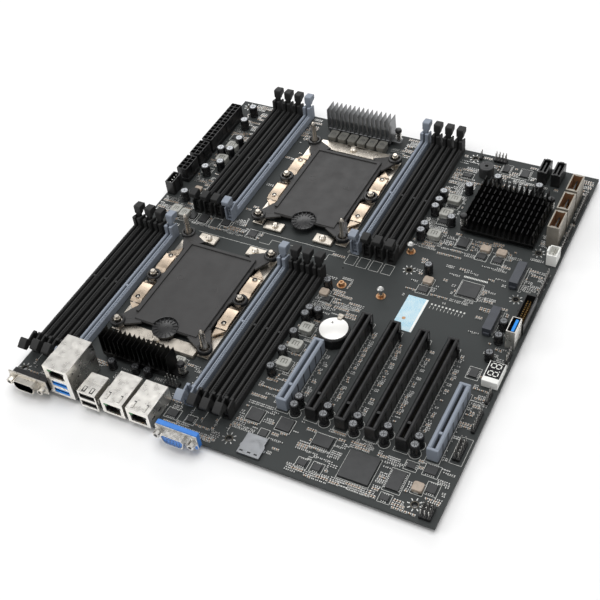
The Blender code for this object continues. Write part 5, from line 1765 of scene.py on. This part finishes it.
class MOTHERBOARD_OT_board(bpy.types.Operator):
    """Finish the bare board, and add its printed lines, hole rings and solder points"""

    bl_idname = "motherboard.board"
    bl_label = "Board, Print and Solder"

    def execute(self, context):
        bare = frame["nodes"]["pcb"]
        bare.data.materials.clear()
        bare.data.materials.append(finish("solder_mask"))
        self.printed_lines()
        self.hole_rings()
        self.underside()
        return {"FINISHED"}

    def printed_lines(self):
        bm = bmesh.new()
        for node, _, _ in MEMORY_BANKS.values():
            x, y, _ = reach(node)
            pitch = (x[1] - x[0] - SLOT_WIDTH) / (SLOTS_IN_BANK - 1)
            near = y[0] - 10.6
            if node.endswith("rear_right") or node.endswith("rear_left"):
                for number in range(SLOTS_IN_BANK):
                    left = x[0] + number * pitch
                    silk_box(bm, (left - 0.4, left + SLOT_WIDTH + 0.4), (near, y[0] - 0.8))
            else:
                for number in range(SLOTS_IN_BANK + 1):
                    left = x[0] + number * pitch - 1.0
                    block(bm, about(left, 0.11), (y[0] - 8.0, y[0] + 0.6), SILK)
            block(bm, (x[0] - 0.8, x[1] + 0.8), about(y[1] + 1.1, 0.11), SILK)
        for number in range(6):
            x = FIRST_SLOT_X + EXPANSION_PITCH * number
            far = 99.6 if number in (0, 5) else 132.4
            silk_box(bm, about(x, 4.6), (41.2, far))
            for offset in (1.2, 8.1):
                if number < 5:
                    self.ring(bm, x + 8.9, 42.5 + offset, 3.7)
        for x, y, half_x, half_y, leads, _ in CHIPS:
            grow = 1.5 if leads else 0.7
            silk_box(bm, about(x, half_x + grow), about(y, half_y + grow), width=0.26)
        for x, y, half_x, half_y, _ in POWER_CHOKES + RESIN_INDUCTORS:
            silk_box(bm, about(x, half_x + 0.5), about(y, half_y + 0.9), width=0.24)
        for which in ("front", "rear"):
            cx, cy = socket_middle(which)
            block(bm, about(cx, 33.0), about(cy + (58.2 if which == "front" else -58.2), 0.13), SILK)
        steps = [
            (96.0, 176.6), (104.0, 176.6), (104.0, 182.0), (122.0, 182.0), (122.0, 177.2), (150.0, 177.2),
            (150.0, 183.4), (162.0, 183.4),
        ]
        for (ax, ay), (bx, by) in zip(steps, steps[1:]):
            block(
                bm, (min(ax, bx) - 0.12, max(ax, bx) + 0.12), (min(ay, by) - 0.12, max(ay, by) + 0.12),
                SILK,
            )
        for left, near, far in ((295.4, 45.6, 66.4), (287.0, 196.0, 221.0), (285.6, 150.0, 174.0)):
            silk_box(bm, (left, left + 8.0 if left > 290 else left + 1.8), (near, far))
        for number in range(10):
            block(bm, about(237.4 + number * 2.6, 0.6), about(163.8, 0.7), SILK)
            block(bm, about(237.0 + number * 2.6, 0.14), about(160.8, 1.2), SILK)
        for number in range(16):
            block(bm, about(248.4 + number * 1.1, 0.36), about(197.0, 0.8), SILK)
        keep(bm, "printed_lines", ["print_white"])

    def ring(self, bm, x, y, radius):
        turned(
            bm, x, y,
            looped([(radius, 0.01), (radius + 0.22, 0.01), (radius + 0.22, 0.06), (radius, 0.06)]), 0, 28,
        )

    def hole_rings(self):
        """A star of plated pads round each mounting hole, and the brass stand-offs with their screws."""
        bm = bmesh.new()
        for x, y in MOUNTING_HOLES:
            for number in range(8):
                angle = number * math.tau / 8
                spoke = Matrix.Translation((x, y, 0)) @ Matrix.Rotation(angle, 4, "Z")
                block(bm, about(3.9, 0.85), about(0.0, 0.36), (0.01, 0.1), 0, turn=spoke)
            turned(bm, x, y, looped([(2.06, 0.01), (2.5, 0.01), (2.5, 0.08), (2.06, 0.08)]), 1, 24)
        for x, y, screwed in ((204.0, 207.0, True), (202.0, 158.0, True), (172.0, 158.0, False)):
            turned(bm, x, y, [(0.0, 0.02), (3.4, 0.02), (3.4, 0.3), (2.6, 0.4), (0.0, 0.4)], 2, 24)
            hex_post(bm, (x, y, 0.3), (x, y, 2.4), 2.3, 2)
            if screwed:
                post(bm, x, y, (2.3, 6.6), 1.5, 0, 14)
                screw_head(bm, x, y, 6.4, 2.5, 0)
            else:
                turned(bm, x, y, looped([(1.0, 2.3), (1.9, 2.3), (1.9, 3.2), (1.0, 3.2)]), 2, 18)
        keep(bm, "hole_rings_and_standoffs", ["solder", "slot_tin", "brass"])

    def underside(self):
        """Rows of solder points under everything that goes through the board."""
        bm = bmesh.new()
        low = -BOARD_THICKNESS
        for node, _, _ in MEMORY_BANKS.values():
            x, y, _ = reach(node)
            pitch = (x[1] - x[0] - SLOT_WIDTH) / (SLOTS_IN_BANK - 1)
            for number in range(SLOTS_IN_BANK):
                for row in (-1, 1):
                    for step in range(42):
                        place = y[0] + 8.5 + step * 3.0
                        middle = x[0] + SLOT_WIDTH / 2 + number * pitch + row * (1.1 if step % 2 else 2.1)
                        self.point(bm, middle, place, low)
        for number in range(6):
            count = 18 if number in (0, 5) else 29
            for step in range(count):
                for row in (-1, 1):
                    self.point(
                        bm, FIRST_SLOT_X + EXPANSION_PITCH * number + row * (1.2 if step % 2 else 2.6),
                        45.0 + step * 3.0, low,
                    )
        for node in ("power_24_pin", "power_8_pin_far", "power_8_pin_near"):
            x, y, z = reach(node)
            pairs = 12 if node == "power_24_pin" else 4
            for number in range(pairs):
                for column in (-2.1, 2.1):
                    place = (y[0] + y[1]) / 2 + (number - (pairs - 1) / 2) * 4.2
                    self.point(bm, (x[0] + x[1]) / 2 + column, place, low, 0.9)
        for middle, count in ((20.6, 5), (45.4, 6), (68.4, 4), (86.2, 5), (105.8, 5), (135.8, 5)):
            for row in range(3):
                for number in range(count):
                    self.point(bm, middle + (number - (count - 1) / 2) * 2.2, 4.0 + row * 3.4, low, 0.6)
        for x, y, _, _ in TALL_CAPACITORS:
            for side in (-1.25, 1.25):
                self.point(bm, x + side, y, low, 0.7)
        for number in range(10):
            for column in (298.4, 300.4):
                self.point(bm, column, 164.2 + number * 2.0, low, 0.6)
        keep(bm, "solder_points", ["solder"])

    def point(self, bm, x, y, low, radius=0.5):
        bmesh.ops.create_cone(
            bm, cap_ends=True, segments=6, radius1=radius * 0.35, radius2=radius, depth=1.0,
            matrix=Matrix.Translation((x, y, low - 0.49)),
        )


class MOTHERBOARD_OT_regulator_parts(bpy.types.Operator):
    """Make the tall capacitors, chokes, inductors, chips, card slot and label"""

    bl_idname = "motherboard.regulator_parts"
    bl_label = "Capacitors, Chokes and Chips"

    def execute(self, context):
        bm = bmesh.new()
        for x, y, radius, height in TALL_CAPACITORS:
            capacitor(bm, x, y, radius, height)
        keep(bm, "tall_capacitors", ["can_sleeve", "can_aluminium"])
        bm = bmesh.new()
        for x, y, half_x, half_y, height in POWER_CHOKES:
            choke(bm, x, y, half_x, half_y, height)
            self.engraved(bm, x, y, height, half_x, 2)
        keep(bm, "power_chokes", ["choke_ferrite", "solder", "dark_ferrite"])
        bm = bmesh.new()
        for number in range(6):
            x = 95.9 + number * 8.44
            choke(bm, x, 306.4, 3.6, 4.9, 6.6)
            block(bm, about(x, 1.4), about(301.4, 0.5), (0.1, 2.2), 1, 0.1)
            self.engraved(bm, x, 306.4, 6.6, 3.2, 2)
        keep(bm, "rear_chokes", ["dark_ferrite", "solder", "chip_resin"])
        bm = bmesh.new()
        for x, y, half_x, half_y, height in RESIN_INDUCTORS:
            choke(bm, x, y, half_x, half_y, height)
        keep(bm, "resin_inductors", ["inductor_resin", "solder"])
        bm = bmesh.new()
        for x, y, half_x, half_y, leads, height in CHIPS:
            chip(bm, x, y, half_x, half_y, leads, height, pitch=0.9 if half_x > 6 else 1.27)
        keep(bm, "chips", ["chip_resin", "solder"])
        bm = bmesh.new()
        outline = [(173.6, 2.0), (189.2, 2.0), (189.2, 11.0), (188.0, 12.6), (188.0, 18.2), (173.6, 18.2)]
        plate(bm, outline, (0.2, 1.9), 0, 0.15)
        # Three dark windows in the top: painted shade in its openings
        for x in (176.0, 181.4, 186.0):
            block(bm, about(x, 1.1), about(4.2, 0.5), (1.85, 2.0), 1)
        for x in (173.2, 189.4):
            block(bm, about(x, 0.5), about(9.0, 1.0), (0.05, 0.8), 0)
        keep(bm, "card_reader", ["reader_steel", "black_and_painted_shade"])
        bm = bmesh.new()
        block(bm, (219.4, 234.2), (134.2, 166.4), (0.06, 0.22), 0, 0.02)
        block(bm, (232.6, 234.1), (134.4, 166.2), (0.2, 0.235), 1)
        post(bm, 224.6, 144.8, (0.2, 0.24), 1.3, 2, 20)
        keep(bm, "inspection_label", ["printed_label", "white_plastic", "brass"])
        return {"FINISHED"}

    def engraved(self, bm, x, y, height, half, index):
        """Plain bars where a choke carries its rating, with no lettering."""
        for step in (-1, 0, 1):
            block(
                bm, about(x + step * half * 0.42, half * 0.07), about(y, half * 0.36),
                (height - 0.02, height + 0.03), index,
            )
        block(
            bm, about(x, half * 0.5), about(y + half * 0.4, half * 0.06), (height - 0.02, height + 0.03),
            index,
        )


class MOTHERBOARD_OT_small_parts(bpy.types.Operator):
    """Scatter the small surface-mounted parts in their fields, clear of everything larger"""

    bl_idname = "motherboard.small_parts"
    bl_label = "Small Parts"

    def execute(self, context):
        taken = footprints()
        for number, (name, fields) in enumerate(SMALL_PART_FIELDS.items()):
            chance = random.Random(sizes().seed * 100 + number)
            bm = bmesh.new()
            for x, y, share in fields:
                self.field(bm, chance, x, y, share * sizes().small_part_share, taken)
            finishes = ["ceramic_tan", "ceramic_black", "solder", "print_white"]
            keep(bm, f"small_parts_{name}", finishes)
        return {"FINISHED"}

    def field(self, bm, chance, x, y, share, taken):
        """Rows of parts, turned in runs of one way, with gaps left at random."""
        row_y = y[0]
        while row_y < y[1] - 1.2:
            upright = chance.random() < 0.5
            step_x, step_y = (1.55, 2.5) if upright else (2.5, 1.55)
            column_x = x[0] + chance.random() * 1.2
            run = 0
            while column_x < x[1] - step_x:
                if run == 0:
                    run = chance.randint(2, 7)
                    filled = chance.random() < share
                    kind = chance.random()
                run -= 1
                spot_x = (column_x, column_x + step_x)
                spot_y = (row_y, row_y + step_y)
                if filled and is_clear(spot_x, spot_y, taken):
                    self.part(bm, chance, spot_x, spot_y, upright, kind)
                column_x += step_x + 0.12
            row_y += step_y + 0.18

    def part(self, bm, chance, x, y, upright, kind):
        """A chip resistor or capacitor with its soldered ends and its printed bracket."""
        cx, cy = (x[0] + x[1]) / 2, (y[0] + y[1]) / 2
        long_half, wide_half = 0.8, 0.42
        height = 0.75 if kind < 0.45 else 0.42
        body = 0 if kind < 0.45 else 1
        if kind > 0.92:
            self.bare_pads(bm, cx, cy)
            return
        turn = Matrix.Translation((cx, cy, 0.0)) @ Matrix.Rotation(math.pi / 2 if upright else 0.0, 4, "Z")
        block(bm, about(0.0, long_half * 0.6), about(0.0, wide_half), (0.05, height), body, turn=turn)
        for side in (-1, 1):
            ends = sorted((side * long_half * 0.55, side * (long_half + 0.22)))
            block(bm, ends, about(0.0, wide_half + 0.06), (0.02, height + 0.02), 2, turn=turn)
        if chance.random() < 0.55:
            for side in (-1, 1):
                block(
                    bm, about(0.0, long_half + 0.35), about(side * (wide_half + 0.2), 0.09), SILK, 3,
                    turn=turn,
                )

    def bare_pads(self, bm, x, y):
        for side in (-0.55, 0.55):
            block(bm, about(x + side, 0.34), about(y, 0.42), (0.02, 0.16), 2)


# ---------------------------------------------------------------- stage


class MOTHERBOARD_OT_stage(bpy.types.Operator):
    """Make the floor, the soft lights and the camera"""

    bl_idname = "motherboard.stage"
    bl_label = "Floor, Lights and Camera"

    def execute(self, context):
        self.floor()
        self.lights(context)
        self.camera(context)
        return {"FINISHED"}

    def floor(self):
        bm = bmesh.new()
        bmesh.ops.create_grid(bm, x_segments=1, y_segments=1, size=6.0)
        mesh = bpy.data.meshes.new("studio_floor")
        bm.to_mesh(mesh)
        bm.free()
        level = CAD_BOX[0].z - 0.0005
        mesh.transform(Matrix.Translation((0.0, 0.0, level)))
        recipe = Recipe("studio_floor")
        colour = (*bpy.context.scene.motherboard_colours.floor, 1.0)
        shade = recipe.mixed(
            recipe.ranged(recipe.noise(400.0, 2.0), 0.0, 1.0), colour,
            tuple(part * 0.985 for part in colour[:3]) + (1.0,),
        )
        recipe.link(shade, recipe.shader.inputs["Base Color"])
        recipe.shader.inputs["Roughness"].default_value = 0.7
        mesh.materials.append(recipe.material)
        floor = bpy.data.objects.new("studio_floor", mesh)
        bpy.context.scene.collection.objects.link(floor)

    def lights(self, context):
        world = bpy.data.worlds.new("studio_air")
        world.use_nodes = True
        background = world.node_tree.nodes["Background"]
        background.inputs["Color"].default_value = (1.0, 1.0, 1.0, 1.0)
        background.inputs["Strength"].default_value = 0.42
        context.scene.world = world
        softboxes = (  # name, place, aim, width, depth, watts
            ("softbox_over", (0.05, 0.0, 1.6), (0.0, 0.0, 0.0), 1.3, 1.3, 18.0),
            ("softbox_behind", (-0.75, 1.55, 0.95), (0.0, 0.1, 0.0), 1.5, 0.8, 9.0),
            ("softbox_left", (-1.3, -0.7, 0.9), (0.0, 0.0, 0.0), 0.9, 0.9, 6.0),
        )
        for name, place, aim, width, depth, watts in softboxes:
            data = bpy.data.lights.new(name, "AREA")
            data.shape = "RECTANGLE"
            data.size = width
            data.size_y = depth
            data.energy = watts
            light = bpy.data.objects.new(name, data)
            light.location = place
            light.rotation_euler = (Vector(aim) - Vector(place)).to_track_quat("-Z", "Y").to_euler()
            context.scene.collection.objects.link(light)

    def camera(self, context):
        """The camera's place is measured from the board's left near corner."""
        data = bpy.data.cameras.new("camera")
        data.lens = sizes().lens
        data.sensor_width = 36.0
        data.clip_start = 0.01
        data.clip_end = 20.0
        camera = bpy.data.objects.new("camera", data)
        place = Matrix.Translation(BOARD_CORNER + Vector((0.43267, -0.31303, 0.53377)))
        azimuth = Matrix.Rotation(math.radians(32.191), 4, "Z")
        elevation = Matrix.Rotation(math.radians(90.0 - 45.284), 4, "X")
        roll = Matrix.Rotation(math.radians(-7.688), 4, "Z")
        camera.matrix_world = place @ azimuth @ elevation @ roll
        context.scene.collection.objects.link(camera)
        context.scene.camera = camera
        context.scene.view_settings.view_transform = "Standard"


# ---------------------------------------------------------------- panel and registration


PIECE_OPERATORS = (
    MOTHERBOARD_OT_stage, MOTHERBOARD_OT_board, MOTHERBOARD_OT_memory_banks, MOTHERBOARD_OT_memory_latches,
    MOTHERBOARD_OT_sockets, MOTHERBOARD_OT_heatsinks, MOTHERBOARD_OT_power_row,
    MOTHERBOARD_OT_outside_ports, MOTHERBOARD_OT_expansion_slots, MOTHERBOARD_OT_right_edge,
    MOTHERBOARD_OT_battery, MOTHERBOARD_OT_regulator_parts, MOTHERBOARD_OT_small_parts,
)


class MOTHERBOARD_PT_sidebar(bpy.types.Panel):
    """Lists the motherboard's sizes, colours and pieces"""

    bl_label = "Motherboard"
    bl_idname = "MOTHERBOARD_PT_sidebar"
    bl_space_type = "VIEW_3D"
    bl_region_type = "UI"
    bl_category = "Motherboard"

    def draw(self, context):
        for group in (context.scene.motherboard_sizes, context.scene.motherboard_colours):
            box = self.layout.box()
            for name in type(group).__annotations__:
                box.prop(group, name)
        for operator in PIECE_OPERATORS:
            self.layout.operator(operator.bl_idname)


CLASSES = (MotherboardSizes, MotherboardColours, *PIECE_OPERATORS, MOTHERBOARD_PT_sidebar)


def register():
    for each in CLASSES:
        bpy.utils.register_class(each)
    bpy.types.Scene.motherboard_sizes = bpy.props.PointerProperty(type=MotherboardSizes)
    bpy.types.Scene.motherboard_colours = bpy.props.PointerProperty(type=MotherboardColours)


def unregister():
    del bpy.types.Scene.motherboard_colours
    del bpy.types.Scene.motherboard_sizes
    for each in reversed(CLASSES):
        bpy.utils.unregister_class(each)


def main():
    register()
    bpy.ops.motherboard.stage()
    bpy.ops.motherboard.board()
    bpy.ops.motherboard.memory_banks()
    bpy.ops.motherboard.memory_latches()
    bpy.ops.motherboard.sockets()
    bpy.ops.motherboard.heatsinks()
    bpy.ops.motherboard.power_row()
    bpy.ops.motherboard.outside_ports()
    bpy.ops.motherboard.expansion_slots()
    bpy.ops.motherboard.right_edge()
    bpy.ops.motherboard.battery()
    bpy.ops.motherboard.regulator_parts()
    bpy.ops.motherboard.small_parts()


if __name__ == "__main__":
    main()
